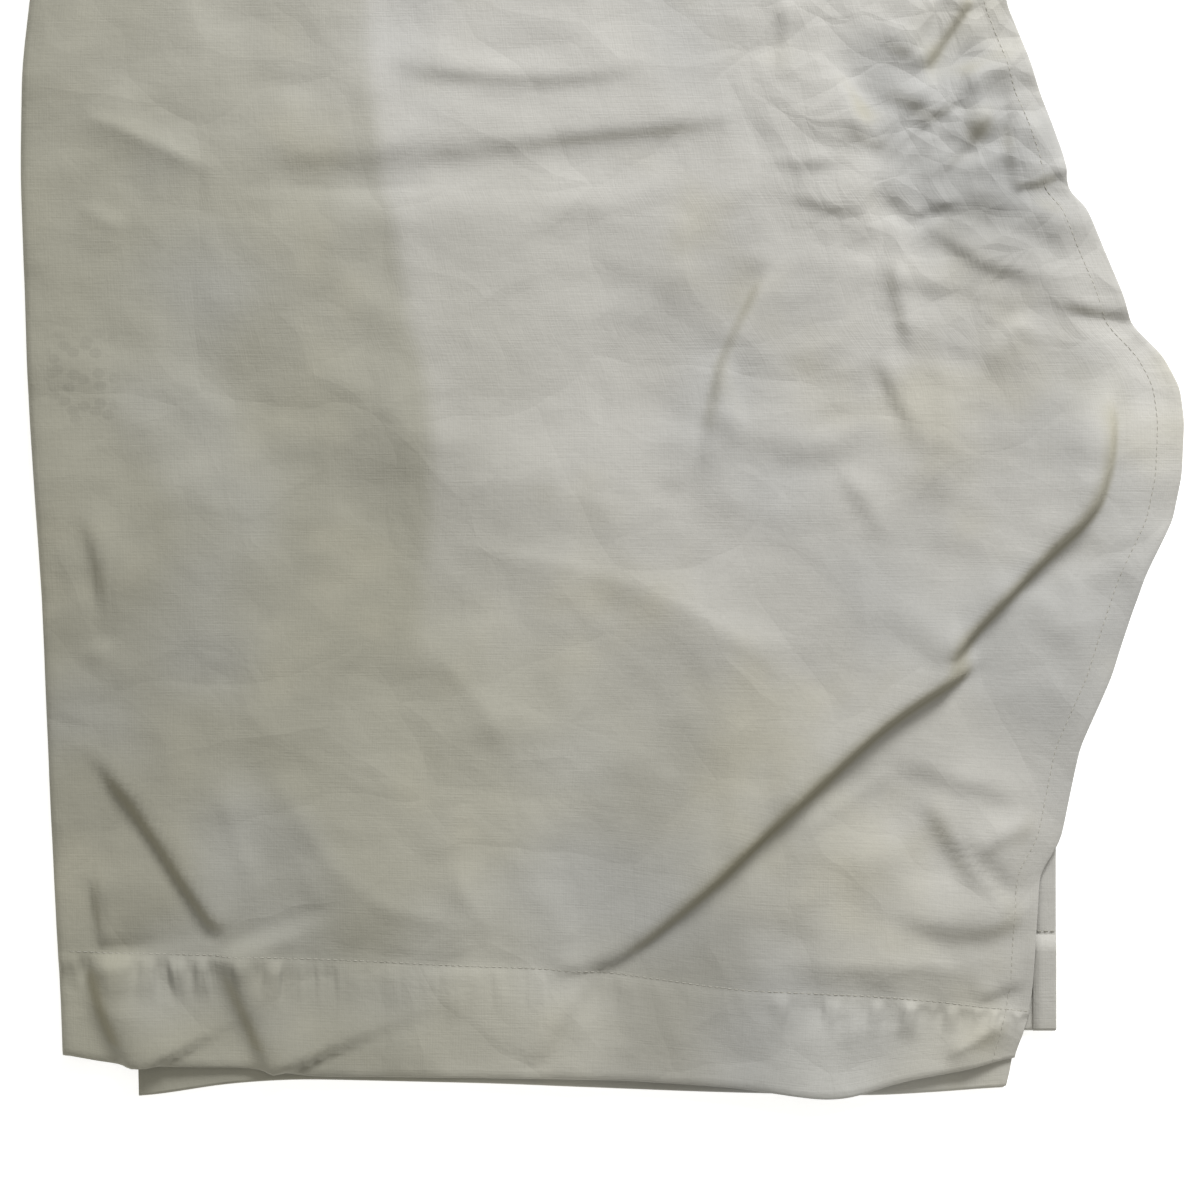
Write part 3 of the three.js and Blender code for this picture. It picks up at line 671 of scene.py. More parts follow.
def back_sheet(cloth):
    """The back half, lying flat, with its hems turned up on the inside."""
    tuck = FOLD_RADIUS + FOLD_TUCK
    rows = spaced((-HEM_DEPTH, -4 * MM, 8 * MM), (-4 * MM, 0, 0.9 * MM), (0, 60 * MM, 4 * MM),
                  (60 * MM, APRON_LENGTH, 12 * MM), (APRON_LENGTH, APRON_LENGTH + 4 * MM, 1 * MM),
                  (APRON_LENGTH + 4 * MM, APRON_LENGTH + TOP_HEM, 9 * MM))
    across = spaced((tuck, 34.4 * MM, 3 * MM), (34.4 * MM, 35.6 * MM, 0.4 * MM),
                    (35.6 * MM, 436 * MM, 6 * MM), (436 * MM, BACK_EDGE, 1.6 * MM),
                    (BACK_EDGE, BACK_EDGE + 2.2 * MM, 0.55 * MM),
                    (BACK_EDGE + 2.2 * MM, BACK_EDGE + cloth.side_hem, 5 * MM))
    xi, eta = np.meshgrid(across, rows)
    hem_back, hem_up = turned(-eta, BACK_HEM_RADIUS)
    top_back, top_up = turned(eta - APRON_LENGTH, BACK_HEM_RADIUS)
    side_back, side_up = turned(xi - BACK_EDGE, SIDE_RADIUS)
    up = np.where(eta < 0, hem_back, np.where(eta > APRON_LENGTH, APRON_LENGTH - top_back, eta))
    level = np.maximum(up, 0)
    share = np.clip((xi - tuck) / (BACK_EDGE - tuck), 0, 1)
    left, right = fold_line(level) + tuck, back_side(level, cloth.armhole_pull)
    narrow = ease((level - 0.30) / 0.3)
    even = left + share * (right - left)
    x = (xi + (even - xi) * narrow) * (xi <= BACK_EDGE) + (right - side_back) * (xi > BACK_EDGE)
    x = np.maximum(x, np.minimum(left, even))
    fade = 1 - ease(up / (230 * MM))
    y = up + back_bottom(x) * fade
    soft = Ripple(71)
    lift = 0.5 * MM * np.abs(soft.layered(x * 16 + 30, y * 16 + 30, 2))
    z = LOWEST + lift + 0.9 * MM * ease((x - 0.40) / 0.05) * (0.5 + 0.5 * soft.at(x * 40 + 9, y * 22 + 9))
    z = np.minimum(z, 2.2 * MM) + hem_up + side_up + top_up
    z = np.where(xi <= tuck + 1e-6, LOWEST, z)
    return Sheet(place(x, y, z), xi, eta, cloth.thickness)


# ---- tape ----------------------------------------------------------------------------------------
LAST_LEG_SHORT = 12 * MM  # how much shorter the last leg of a folded tie is than the leg before it


class Tape:
    """A flat tape laid out straight and then folded over wherever it turns."""

    def __init__(self, start, heading, length, width=TAPE_WIDTH, sway=()):
        self.length, self.width = length, width
        along, across = spaced((0, length, 2.4 * MM)), np.linspace(-width / 2, width / 2, 9)
        self.s, self.w = np.meshgrid(along, across)
        side = np.interp(along, *zip(*sway)) if sway else np.zeros(len(along))
        side = np.convolve(np.pad(side, 12, mode="edge"), np.hanning(25) / np.hanning(25).sum(), "valid")
        across_now = self.w + side
        c, sn = math.cos(heading), math.sin(heading)
        self.x = start[0] + self.s * c - across_now * sn
        self.y = start[1] + self.s * sn + across_now * c
        self.z = np.zeros(self.s.shape)

    def middle(self, at):
        row, column = self.s.shape[0] // 2, int(np.searchsorted(self.s[0], at))
        x, y = self.x[row], self.y[row]
        heading = math.atan2(y[column + 1] - y[column - 1], x[column + 1] - x[column - 1])
        return x[column], y[column], heading

    def fold(self, at, new_heading, radius=0.75 * MM, sink=30 * MM):
        """Folds the tape over, so that past this point it runs on in a new direction."""
        x0, y0, heading = self.middle(at)
        line = (heading + new_heading) / 2
        nx, ny = math.sin(line), -math.cos(line)
        if nx * math.cos(heading) + ny * math.sin(heading) < 0:
            nx, ny = -nx, -ny
        past = np.where(self.s > at - self.width, (self.x - x0) * nx + (self.y - y0) * ny, -1.0)
        back, lift = turned(past, radius)
        moved = np.where(past > 0, -back - past, 0)
        self.x, self.y = self.x + moved * nx, self.y + moved * ny
        settled = ease((self.s - at - self.width * 0.9) / sink) if sink else 0
        self.z = self.z + lift * (1 - settled)

    def lay(self, low, seed, ripple=0.5 * MM):
        """Sets the height it lies at, with a slight ripple and a slightly cupped section."""
        noise = Ripple(seed)
        soft = np.abs(noise.at(self.x * 22 + 30, self.y * 22 + 30)) * ripple
        cup = 0.35 * MM * (1 - (2 * self.w / self.width) ** 2) * noise.at(self.s * 14 + 5, 0 * self.s + 5)
        self.z = self.z + low + soft + np.abs(cup)

    def build(self, name, material, thickness=0.9 * MM):
        points = place(self.x, self.y, self.z)
        piece = grid_mesh(name, points, self.w, self.s)
        thicken(piece, thickness)
        piece.data.materials.append(material)
        return piece


# ---- stitches ------------------------------------------------------------------------------------
def stitch_nodes():
    """Lays short stitches along lines: one node group for every row of stitching."""
    group = bpy.data.node_groups.new("Stitches", "GeometryNodeTree")
    panel = group.interface
    panel.new_socket("Geometry", in_out="INPUT", socket_type="NodeSocketGeometry")
    for label, value in (("Pitch", 3.1 * MM), ("Stitch length", 2.6 * MM), ("Thread", 0.42 * MM)):
        socket = panel.new_socket(label, in_out="INPUT", socket_type="NodeSocketFloat")
        socket.default_value = value
        socket.subtype = "DISTANCE"
    panel.new_socket("Seed", in_out="INPUT", socket_type="NodeSocketInt")
    panel.new_socket("Material", in_out="INPUT", socket_type="NodeSocketMaterial")
    panel.new_socket("Geometry", in_out="OUTPUT", socket_type="NodeSocketGeometry")

    def node(kind, settings=None, **links):
        made = group.nodes.new(kind)
        for key, value in (settings or {}).items():
            setattr(made, key, value)
        for key, source in links.items():
            socket = made.inputs[key.replace("_", " ")]
            if isinstance(source, bpy.types.NodeSocket):
                group.links.new(source, socket)
            else:
                socket.default_value = source
        return made

    given = node("NodeGroupInput").outputs
    curve = node("GeometryNodeMeshToCurve", Mesh=given["Geometry"]).outputs[0]
    spread = node("GeometryNodeResampleCurve", {"mode": "LENGTH"}, Curve=curve, Length=given["Pitch"])
    tangent = node("GeometryNodeInputTangent").outputs[0]
    facing = node("FunctionNodeAlignRotationToVector", {"axis": "X"}, Vector=tangent).outputs[0]
    jitter = node("FunctionNodeRandomValue", {"data_type": "FLOAT_VECTOR"}, Seed=given["Seed"])
    jitter.inputs[0].default_value = (-0.02, -0.05, -0.07)
    jitter.inputs[1].default_value = (0.02, 0.05, 0.07)
    turned_a_little = node("FunctionNodeRotateRotation", {"rotation_space": "LOCAL"}, Rotation=facing)
    group.links.new(jitter.outputs[0], turned_a_little.inputs[1])
    bead = node("GeometryNodeMeshUVSphere", Segments=6, Rings=5, Radius=0.5).outputs[0]
    size = node("ShaderNodeCombineXYZ", X=given["Stitch length"], Y=given["Thread"], Z=given["Thread"])
    stitch = node("GeometryNodeTransform", Geometry=bead, Scale=size.outputs[0]).outputs[0]
    placed = node("GeometryNodeInstanceOnPoints", Points=spread.outputs[0], Instance=stitch)
    group.links.new(turned_a_little.outputs[0], placed.inputs["Rotation"])
    real = node("GeometryNodeRealizeInstances", Geometry=placed.outputs[0]).outputs[0]
    coloured = node("GeometryNodeSetMaterial", Geometry=real, Material=given["Material"]).outputs[0]
    smooth = node("GeometryNodeSetShadeSmooth", Geometry=coloured).outputs[0]
    group.links.new(smooth, node("NodeGroupOutput").inputs[0])
    return group


def sew(node, lines, body, seed):
    """A row of stitches along lines of points, standing for one sewn row of the frame."""
    name = node.replace("stitching", "stitches").replace("tack", "tack_stitches")
    group = bpy.data.node_groups.get("Stitches") or stitch_nodes()
    material = bpy.data.materials.get("Cotton thread") or thread_material(bpy.context.scene.apron_colour)
    points, edges = [], []
    for line in lines:
        edges += [(len(points) + i, len(points) + i + 1) for i in range(len(line) - 1)]
        points += [tuple(p) for p in line]
    path = bpy.data.meshes.new(name)
    path.from_pydata(points, edges, [])
    piece = bpy.data.objects.new(name, path)
    bpy.context.scene.collection.objects.link(piece)
    modifier = piece.modifiers.new("Stitches", "NODES")
    modifier.node_group = group
    given = {"Seed": seed, "Material": material}
    for item in group.interface.items_tree:
        if item.in_out == "INPUT" and item.name in given:
            modifier[item.identifier] = given[item.name]
    apply_modifiers(piece)
    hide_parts(node)
    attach(piece, body)
    return piece


def raised(points, amount):
    lifted = points.copy()
    lifted[:, 2] += amount
    return lifted


# ---- the stage -----------------------------------------------------------------------------------
def area_light(name, where, target, width, height, power):
    data = bpy.data.lights.new(name, "AREA")
    data.shape = "RECTANGLE"
    data.size, data.size_y, data.energy = width, height, power
    lamp = bpy.data.objects.new(name, data)
    lamp.location = where
    lamp.rotation_euler = (Vector(target) - Vector(where)).to_track_quat("-Z", "Y").to_euler()
    bpy.context.scene.collection.objects.link(lamp)
    return lamp


class APRON_OT_stage(bpy.types.Operator):
    """Sets the floor, the lights and the camera"""

    bl_idname = "apron.stage"
    bl_label = "Stage"

    def execute(self, context):
        stage = context.scene.apron_stage
        scene = context.scene
        scene.view_settings.view_transform = "Standard"
        world = bpy.data.worlds.new("Studio")
        world.use_nodes = True
        world.node_tree.nodes["Background"].inputs[0].default_value = (1, 0.975, 0.90, 1)
        world.node_tree.nodes["Background"].inputs[1].default_value = stage.sky_strength
        scene.world = world
        middle = ((SKIRT_LOW.x + SKIRT_HIGH.x) / 2 - stage.view_shift, HEM_Y + stage.view_up, 0)
        bpy.ops.mesh.primitive_plane_add(size=12, location=(0, 0, 0))
        floor = context.object
        floor.name = "floor"
        floor.data.materials.append(floor_material(stage))
        area_light("key", (middle[0] + 0.75, middle[1] + 2.0, 1.15), middle, 1.0, 0.8, stage.key_power)
        area_light("fill", (middle[0] - 1.2, middle[1] - 1.0, 2.6), middle, 1.8, 1.8, stage.fill_power)
        data = bpy.data.cameras.new("camera")
        data.sensor_width = 36
        above = stage.view_height - scene.apron_cloth.rest_height
        data.lens = data.sensor_width * above / stage.view_span
        camera = bpy.data.objects.new("camera", data)
        camera.location = (middle[0], middle[1], stage.view_height)
        scene.collection.objects.link(camera)
        scene.camera = camera
        return {"FINISHED"}


# ---- shader writing ------------------------------------------------------------------------------
class Value:
    """A shader socket that takes part in sums and products."""

    def __init__(self, tree, socket):
        self.tree, self.socket = tree, socket

    def math(self, operation, other, swap=False):
        pair = (other, self) if swap else (self, other)
        return self.tree.node("ShaderNodeMath", {"operation": operation}, pair)[0]

    def __add__(self, other):
        return self.math("ADD", other)

    def __sub__(self, other):
        return self.math("SUBTRACT", other)

    def __mul__(self, other):
        return self.math("MULTIPLY", other)

    def __radd__(self, other):
        return self.math("ADD", other, swap=True)

    def __rsub__(self, other):
        return self.math("SUBTRACT", other, swap=True)

    def __rmul__(self, other):
        return self.math("MULTIPLY", other, swap=True)

    def sine(self):
        return self.tree.node("ShaderNodeMath", {"operation": "SINE"}, (self,))[0]


class Shader:
    """A material's node tree, written as expressions."""

    def __init__(self, name, roughness):
        self.material = bpy.data.materials.new(name)
        self.material.use_nodes = True
        self.nodes, self.links = self.material.node_tree.nodes, self.material.node_tree.links
        self.surface = self.nodes["Principled BSDF"]
        self.surface.inputs["Roughness"].default_value = roughness
        self.surface.inputs["Specular IOR Level"].default_value = 0.25

    def node(self, kind, settings, inputs):
        """Adds a node: its settings first, then its sockets, by order or by name."""
        made = self.nodes.new(kind)
        for key, value in settings.items():
            setattr(made, key, value)
        pairs = inputs.items() if isinstance(inputs, dict) else enumerate(inputs)
        for key, value in pairs:
            self.join(made.inputs[key], value)
        return [Value(self, socket) for socket in made.outputs if socket.enabled]

    def join(self, socket, value):
        if isinstance(value, Value):
            self.links.new(value.socket, socket)
        elif value is not None:
            socket.default_value = value

    def uv(self):
        return self.node("ShaderNodeUVMap", {"uv_map": "Cloth"}, ())[0]

    def object_place(self):
        return self.node("ShaderNodeTexCoord", {}, ())[3]

    def split(self, vector):
        return self.node("ShaderNodeSeparateXYZ", {}, (vector,))

    def stretched(self, vector, scale):
        return self.node("ShaderNodeVectorMath", {"operation": "MULTIPLY"}, (vector, scale))[0]

    def noise(self, vector, scale, detail=3.0, roughness=0.5):
        inputs = {"Vector": vector, "Scale": scale, "Detail": detail, "Roughness": roughness}
        return self.node("ShaderNodeTexNoise", {"noise_dimensions": "3D"}, inputs)[0]

    def tents(self, vector, scale):
        """Flat-sided creases: the distance from the edges of irregular cells."""
        settings = {"feature": "DISTANCE_TO_EDGE", "voronoi_dimensions": "2D"}
        return self.node("ShaderNodeTexVoronoi", settings, {"Vector": vector, "Scale": scale})[0]

    def cells(self, vector, scale):
        """Distance from scattered points, for small round spots."""
        settings = {"feature": "F1", "voronoi_dimensions": "2D"}
        return self.node("ShaderNodeTexVoronoi", settings, {"Vector": vector, "Scale": scale})[0]

    def range(self, value, low, high):
        """0 at low, 1 at high, smooth between."""
        inputs = {"Value": value, "From Min": low, "From Max": high}
        return self.node("ShaderNodeMapRange", {"interpolation_type": "SMOOTHSTEP"}, inputs)[0]

    def mix(self, share, a, b, blend="MIX"):
        """Mixes two colours. 0, 6 and 7 are the share and the two colours among the node's sockets."""
        settings = {"data_type": "RGBA", "blend_type": blend}
        return self.node("ShaderNodeMix", settings, {0: share, 6: a, 7: b})[0]

    def bump(self, height, distance, strength=1.0, under=None):
        inputs = {"Height": height, "Distance": distance, "Strength": strength, "Normal": under}
        return self.node("ShaderNodeBump", {}, inputs)[0]

    def finish(self, colour, roughness=None, normal=None):
        self.join(self.surface.inputs["Base Color"], colour)
        self.join(self.surface.inputs["Roughness"], roughness)
        self.join(self.surface.inputs["Normal"], normal)
        return self.material


def rgba(colour):
    return (*colour, 1.0)


def floor_material(stage):
    shader = Shader("Floor", 0.9)
    shader.surface.inputs["Emission Color"].default_value = (1, 1, 1, 1)
    shader.surface.inputs["Emission Strength"].default_value = 0.6
    shade = shader.noise(shader.object_place(), 3.0, 1.0)
    colour = shader.mix(shade, rgba(stage.floor), rgba([c * 0.99 for c in stage.floor]))
    return shader.finish(colour)


# paler and darker areas of the cloth's colour: centre, reach (mm on the flat cloth) and strength
PALER_AND_DARKER_AREAS = (
    ((190, 128), (80, 120), 0.12),
    ((212, 20), (60, 42), 0.15),
    ((300, 28), (62, 66), -0.16),
    ((388, 16), (56, 44), 0.15),
    ((368, 88), (62, 62), 0.12),
    ((442, 290), (36, 70), 0.14),
    ((386, 314), (42, 52), -0.07),
    ((408, 388), (40, 44), -0.15),
    ((286, 360), (56, 46), -0.10),
    ((366, 412), (30, 34), 0.08),
    ((424, 92), (38, 50), 0.07),
    ((42, 78), (44, 50), -0.07),
    ((112, 26), (52, 40), -0.08),
    ((30, 168), (60, 70), -0.08),
    ((252, 96), (46, 60), -0.05),
)

# where areas of the flat cloth, in metres, start, are full, begin to fade and end: across, then up
SPOTTED_AREA = ((0.008, 0.014, 0.032, 0.042), (0.292, 0.304, 0.334, 0.348))
# painted shade: where the crumpled corner's greyer, cooler patch lies
SHADE_PATCH_AREA = ((0.355, 0.385, 0.42, 0.46), (0.36, 0.41, 0.46, 0.50))


def tinted(colour, red, green, blue):
    """A colour with each of its parts weakened or strengthened."""
    return (colour[0] * red, colour[1] * green, colour[2] * blue, 1.0)


def within(shader, value, low, low_end, high, high_end):
    """1 from low_end to high, falling smoothly to 0 at low and at high_end."""
    return shader.range(value, low, low_end) * (1.0 - shader.range(value, high, high_end))


def cloth_material(colours):
    """Washed drill: fine threads, small creases, gathers under the hem seam, cloudy ageing, paler and darker
    areas, and painted shade toward the fold and the hem, in one patch and on the steep sides of the folds.
    """
    light, dull = colours.cloth, colours.shaded
    shader = Shader("Washed drill", 0.93)
    shader.surface.inputs["Sheen Weight"].default_value = 0.1
    uv, where = shader.uv(), shader.object_place()
    u, v, _ = shader.split(uv)
    warp = shader.noise(shader.stretched(uv, (1500.0, 60.0, 1.0)), 1.0, 2.0)
    weft = shader.noise(shader.stretched(uv, (50.0, 1400.0, 1.0)), 1.0, 2.0)
    slub = shader.noise(shader.stretched(uv, (420.0, 18.0, 1.0)), 1.0, 2.0)
    fleck = shader.noise(where, 420.0, 3.0, 0.6)
    # colour: cloudy ageing, plus painted shade: darker and yellower toward the fold and the hem, lighter
    # toward the top, with a painted step of shade along the old pressed line; warmer in places
    cloud = shader.noise(where, 5.0, 3.0, 0.55)
    pressed = shader.range(u, 0.152, 0.164) * shader.range(v, 0.14, 0.30)
    upper = shader.range(v, 0.36, 0.50)
    age_and_shade = shader.range(cloud * 0.5 + u * 1.1 + v * 0.2 + upper * 0.10 + pressed * 0.24, 0.26, 0.92)
    colour = shader.mix(age_and_shade, rgba(dull), rgba(light))
    warm = shader.range(shader.noise(shader.stretched(where, (1.0, 1.0, 0.0)), 8.0, 3.0, 0.6), 0.50, 0.70)
    colour = shader.mix(warm * 0.45, colour, tinted(light, 0.98, 0.95, 0.80))
    cool = shader.range(shader.noise(shader.stretched(where, (1.0, 1.0, 0.0)), 6.0, 2.0), 0.48, 0.66)
    colour = shader.mix(cool * 0.5, colour, tinted(light, 0.86, 0.885, 0.93))
    spots = 1.0 - shader.range(shader.cells(uv, 150.0), 0.30, 0.42)
    spotted = within(shader, u, *SPOTTED_AREA[0]) * within(shader, v, *SPOTTED_AREA[1])
    # painted shade: a greyer, cooler patch in the crumpled corner
    shade_patch = within(shader, u, *SHADE_PATCH_AREA[0]) * within(shader, v, *SHADE_PATCH_AREA[1])
    hem = 1.0 - shader.range(v, HEM_DEPTH - 2 * MM, HEM_DEPTH)
    grain = (fleck - 0.5) * 0.07 + (warp + weft - 1.0) * 0.04 + (slub - 0.5) * 0.03
    # the patch's painted shade and the faint spots darken the tone
    tone = 0.97 + grain + hem * 0.07 - shade_patch * 0.09 - spots * spotted * 0.09
    for centre, reach, amount in PALER_AND_DARKER_AREAS:
        across = (u - centre[0] * MM) * (1 / (reach[0] * MM))
        up = (v - centre[1] * MM) * (1 / (reach[1] * MM))
        tone = tone + (1.0 - shader.range(across * across + up * up, 0.0, 1.0)) * amount
    # painted shade: the same patch is tinted cooler
    colour = shader.mix(shade_patch * 0.5, colour, tinted(light, 0.86, 0.89, 0.95))
    tones = shader.node("ShaderNodeCombineColor", {}, (tone, tone, tone))[0]
    colour = shader.mix(1.0, colour, tones, "MULTIPLY")
    # painted shade: the steep sides of the folds are painted a darker, olive colour
    steep = shader.node("ShaderNodeAttribute", {"attribute_name": "Steep"}, ())[2]
    kept = shader.range(steep, 0.22, 0.62)
    colour = shader.mix(kept * 0.56, colour, tinted(dull, 0.90, 0.85, 0.66))
    # surface: threads, then small creases, then the gathers along the hem seam
    drift = shader.node("ShaderNodeTexNoise", {}, {"Vector": where, "Scale": 14.0})[1]
    shift = {"operation": "MULTIPLY_ADD"}
    drifted = shader.node("ShaderNodeVectorMath", shift, (drift, (0.05, 0.05, 0.05), where))[0]
    crumpled = shader.range(u, 0.29, 0.42) * within(shader, v, 0.29, 0.42, 0.50, 0.60)
    facet = shader.tents(drifted, 23.0) + shader.tents(drifted, 52.0) * 0.4
    crease = shader.tents(drifted, 10.0) * 0.62 + facet * (0.11 + crumpled * 0.60)
    gather = shader.range(shader.noise(shader.stretched(uv, (120.0, 16.0, 1.0)), 1.0, 0.0), 0.36, 0.66)
    ends = (0.7 - shader.range(u, 0.10, 0.16) * 0.7) + shader.range(u, 0.32, 0.36) * 0.45 + 0.2
    below = within(shader, v, HEM_DEPTH - 24 * MM, HEM_DEPTH - 8 * MM, HEM_DEPTH - 8 * MM, HEM_DEPTH)
    fibre = shader.bump(fleck + warp * 0.7 + weft * 0.7, 0.0003, 0.5)
    creased = shader.bump(crease, 0.011, 0.55, fibre)
    normal = shader.bump((gather - 0.5) * below * ends, 0.0026, 0.8, creased)
    return shader.finish(colour, 0.88 + fleck * 0.10, normal)


def tape_material(colours):
    """Herringbone cotton tape."""
    shader = Shader("Cotton tape", 0.9)
    shader.surface.inputs["Sheen Weight"].default_value = 0.1
    uv, where = shader.uv(), shader.object_place()
    u, v, _ = shader.split(uv)
    side = shader.node("ShaderNodeMath", {"operation": "PINGPONG"}, (u, 0.0032))[0]
    rib = ((v + side * 1.1) * (2 * math.pi / 0.0016)).sine()
    fleck = shader.noise(where, 380.0, 3.0, 0.6)
    cloud = shader.noise(where, 14.0, 3.0)
    colour = shader.mix(cloud, tinted(colours.tape, 0.86, 0.86, 0.86), tinted(colours.tape, 1.08, 1.08, 1.08))
    tone = 0.93 + rib * 0.05 + (fleck - 0.5) * 0.14
    tones = shader.node("ShaderNodeCombineColor", {}, (tone, tone, tone))[0]
    colour = shader.mix(1.0, colour, tones, "MULTIPLY")
    normal = shader.bump(rib + fleck * 0.6, 0.0003, 0.7)
    return shader.finish(colour, 0.86 + fleck * 0.1, normal)


def thread_material(colours):
    shader = Shader("Cotton thread", 0.8)
    where = shader.object_place()
    twist = shader.noise(where, 1500.0, 2.0)
    colour = shader.mix(twist, rgba([c * 0.8 for c in colours.thread]), rgba(colours.thread))
    return shader.finish(colour, None, shader.bump(twist, 0.0002, 0.5))


# ---- cloth operators -----------------------------------------------------------------------------
def drill(colours):
    return bpy.data.materials.get("Washed drill") or cloth_material(colours)


def bend_at_waist(piece):
    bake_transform(piece)


def steepness(sheet):
    """How far each point of a sheet leans from level: 0 flat, 1 upright. Its turned edges count as flat."""
    along, up = np.gradient(sheet.points, axis=1), np.gradient(sheet.points, axis=0)
    normal = np.cross(along, up)
    lean = np.hypot(normal[..., 0], normal[..., 1]) / np.maximum(np.linalg.norm(normal, axis=-1), 1e-12)
    for axis in (0, 1, 0, 1):
        lean = 0.5 * lean + 0.25 * (np.roll(lean, 1, axis) + np.roll(lean, -1, axis))
    inner = ease((sheet.xi - 8 * MM) / (6 * MM)) * ease((HALF_WIDTH - sheet.xi) / (6 * MM))
    seam = np.exp(-(((sheet.eta - HEM_DEPTH) / (7 * MM)) ** 2))
    return lean * inner * (1 - seam) * ease((sheet.eta - 3 * MM) / (7 * MM))


def make_half(name, sheet, colours, nodes):
    piece = grid_mesh(name, sheet.points, sheet.xi, sheet.eta)
    # the steepness places the painted shade on the steep sides of the folds
    steep = piece.data.attributes.new("Steep", "FLOAT", "POINT")
    steep.data.foreach_set("value", steepness(sheet).ravel())
    thicken(piece, sheet.thickness)
    piece.data.materials.append(drill(colours))
    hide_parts(*nodes)
    sheet.size()
    sheet.area()
    bend_at_waist(piece)
    return piece


class APRON_OT_front_cloth(bpy.types.Operator):
    """Makes the front half of the apron cloth, with its hems turned under"""

    bl_idname = "apron.front_cloth"
    bl_label = "Front cloth"

    def execute(self, context):
        nodes = ("skirt_cloth", "bib_cloth", "bottom_hem_front", "side_hem_front", "top_hem_front")
        sheet = front_sheet(context.scene.apron_cloth)
        make_half("front_cloth", sheet, context.scene.apron_colour, nodes)
        return {"FINISHED"}


class APRON_OT_back_cloth(bpy.types.Operator):
    """Makes the back half of the apron cloth, lying under the front half"""

    bl_idname = "apron.back_cloth"
    bl_label = "Back cloth"

    def execute(self, context):
        nodes = ("bottom_hem_back", "side_hem_back", "top_hem_back")
        sheet = back_sheet(context.scene.apron_cloth)
        make_half("back_cloth", sheet, context.scene.apron_colour, nodes)
        return {"FINISHED"}


class APRON_OT_armhole_facings(bpy.types.Operator):
    """Makes the two facing tapes sewn inside the armholes"""

    bl_idname = "apron.armhole_facings"
    bl_label = "Armhole facings"

    def execute(self, context):
        cloth, colours = context.scene.apron_cloth, context.scene.apron_colour
        halves = (("armhole_facing_front", front_sheet(cloth), HALF_WIDTH, -1.5 * MM),
                  ("armhole_facing_back", back_sheet(cloth), BACK_EDGE, 2.0 * MM))
        for name, sheet, edge, drop in halves:
            eta = spaced((WAIST + 18 * MM, APRON_LENGTH - 4 * MM, 5 * MM))
            outer = sheet.at(np.full(len(eta), edge - 1.5 * MM), eta)
            along = np.gradient(outer, axis=0)[:, :2]
            inward = np.stack([-along[:, 1], along[:, 0]], 1) / np.linalg.norm(along, axis=1)[:, None]
            across = np.linspace(0, FACING_WIDTH - 2 * MM, 6)
            points = outer[:, None, :] + np.zeros((1, 6, 1))
            points[:, :, :2] += inward[:, None, :] * across[None, :, None]
            points[:, :, 2] = np.maximum(points[:, :, 2] + drop, 1.0 * MM)
            wide, tall = np.meshgrid(across, eta)
            piece = grid_mesh(name.replace("facing", "facing_tape"), points[:, ::-1], wide[:, ::-1], tall)
            thicken(piece, 0.5 * MM)
            piece.data.materials.append(drill(colours))
            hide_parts(name)
            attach(piece, "bib")
        return {"FINISHED"}


class APRON_OT_neck_strap(bpy.types.Operator):
    """Makes the neck strap, one length of tape sewn in at both halves of the bib top"""

    bl_idname = "apron.neck_strap"
    bl_label = "Neck strap"

    def execute(self, context):
        material = tape_material(context.scene.apron_colour)
        root_x = (STRAP_END[0].x + STRAP_END[1].x) / 2 - FOLD_X
        sewn, top = 28 * MM, APRON_LENGTH
        reach = STRAP_HIGH.y - HEM_Y - top - TAPE_WIDTH / 2
        spread = (STRAP_HIGH.x - STRAP_LOW.x - TAPE_WIDTH) / 2
        lean = math.atan2(reach, spread)
        leg = math.hypot(reach, spread)
        length = 2 * (sewn + leg) + 2 * spread
        start = (root_x - sewn * math.cos(lean), top - sewn * math.sin(lean))
        tape = Tape(start, lean, length, sway=((0, 0), (leg * 0.5, 3 * MM), (leg, 0), (length, 0)))
        tape.fold(sewn + leg, math.pi)
        tape.fold(sewn + leg + 2 * spread, 2 * math.pi - lean)
        tape.lay(0.55 * MM, 81)
        inside = 1 - ease((tape.s - sewn) / (40 * MM))
        back = 1 - ease((length - sewn - tape.s) / (40 * MM))
        tape.z = tape.z + 4.6 * MM * inside + 1.6 * MM * back
        piece = tape.build("neck_strap_tape", material)
        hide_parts("neck_strap", "strap_end_front", "strap_end_back")
        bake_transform(piece)
        return {"FINISHED"}


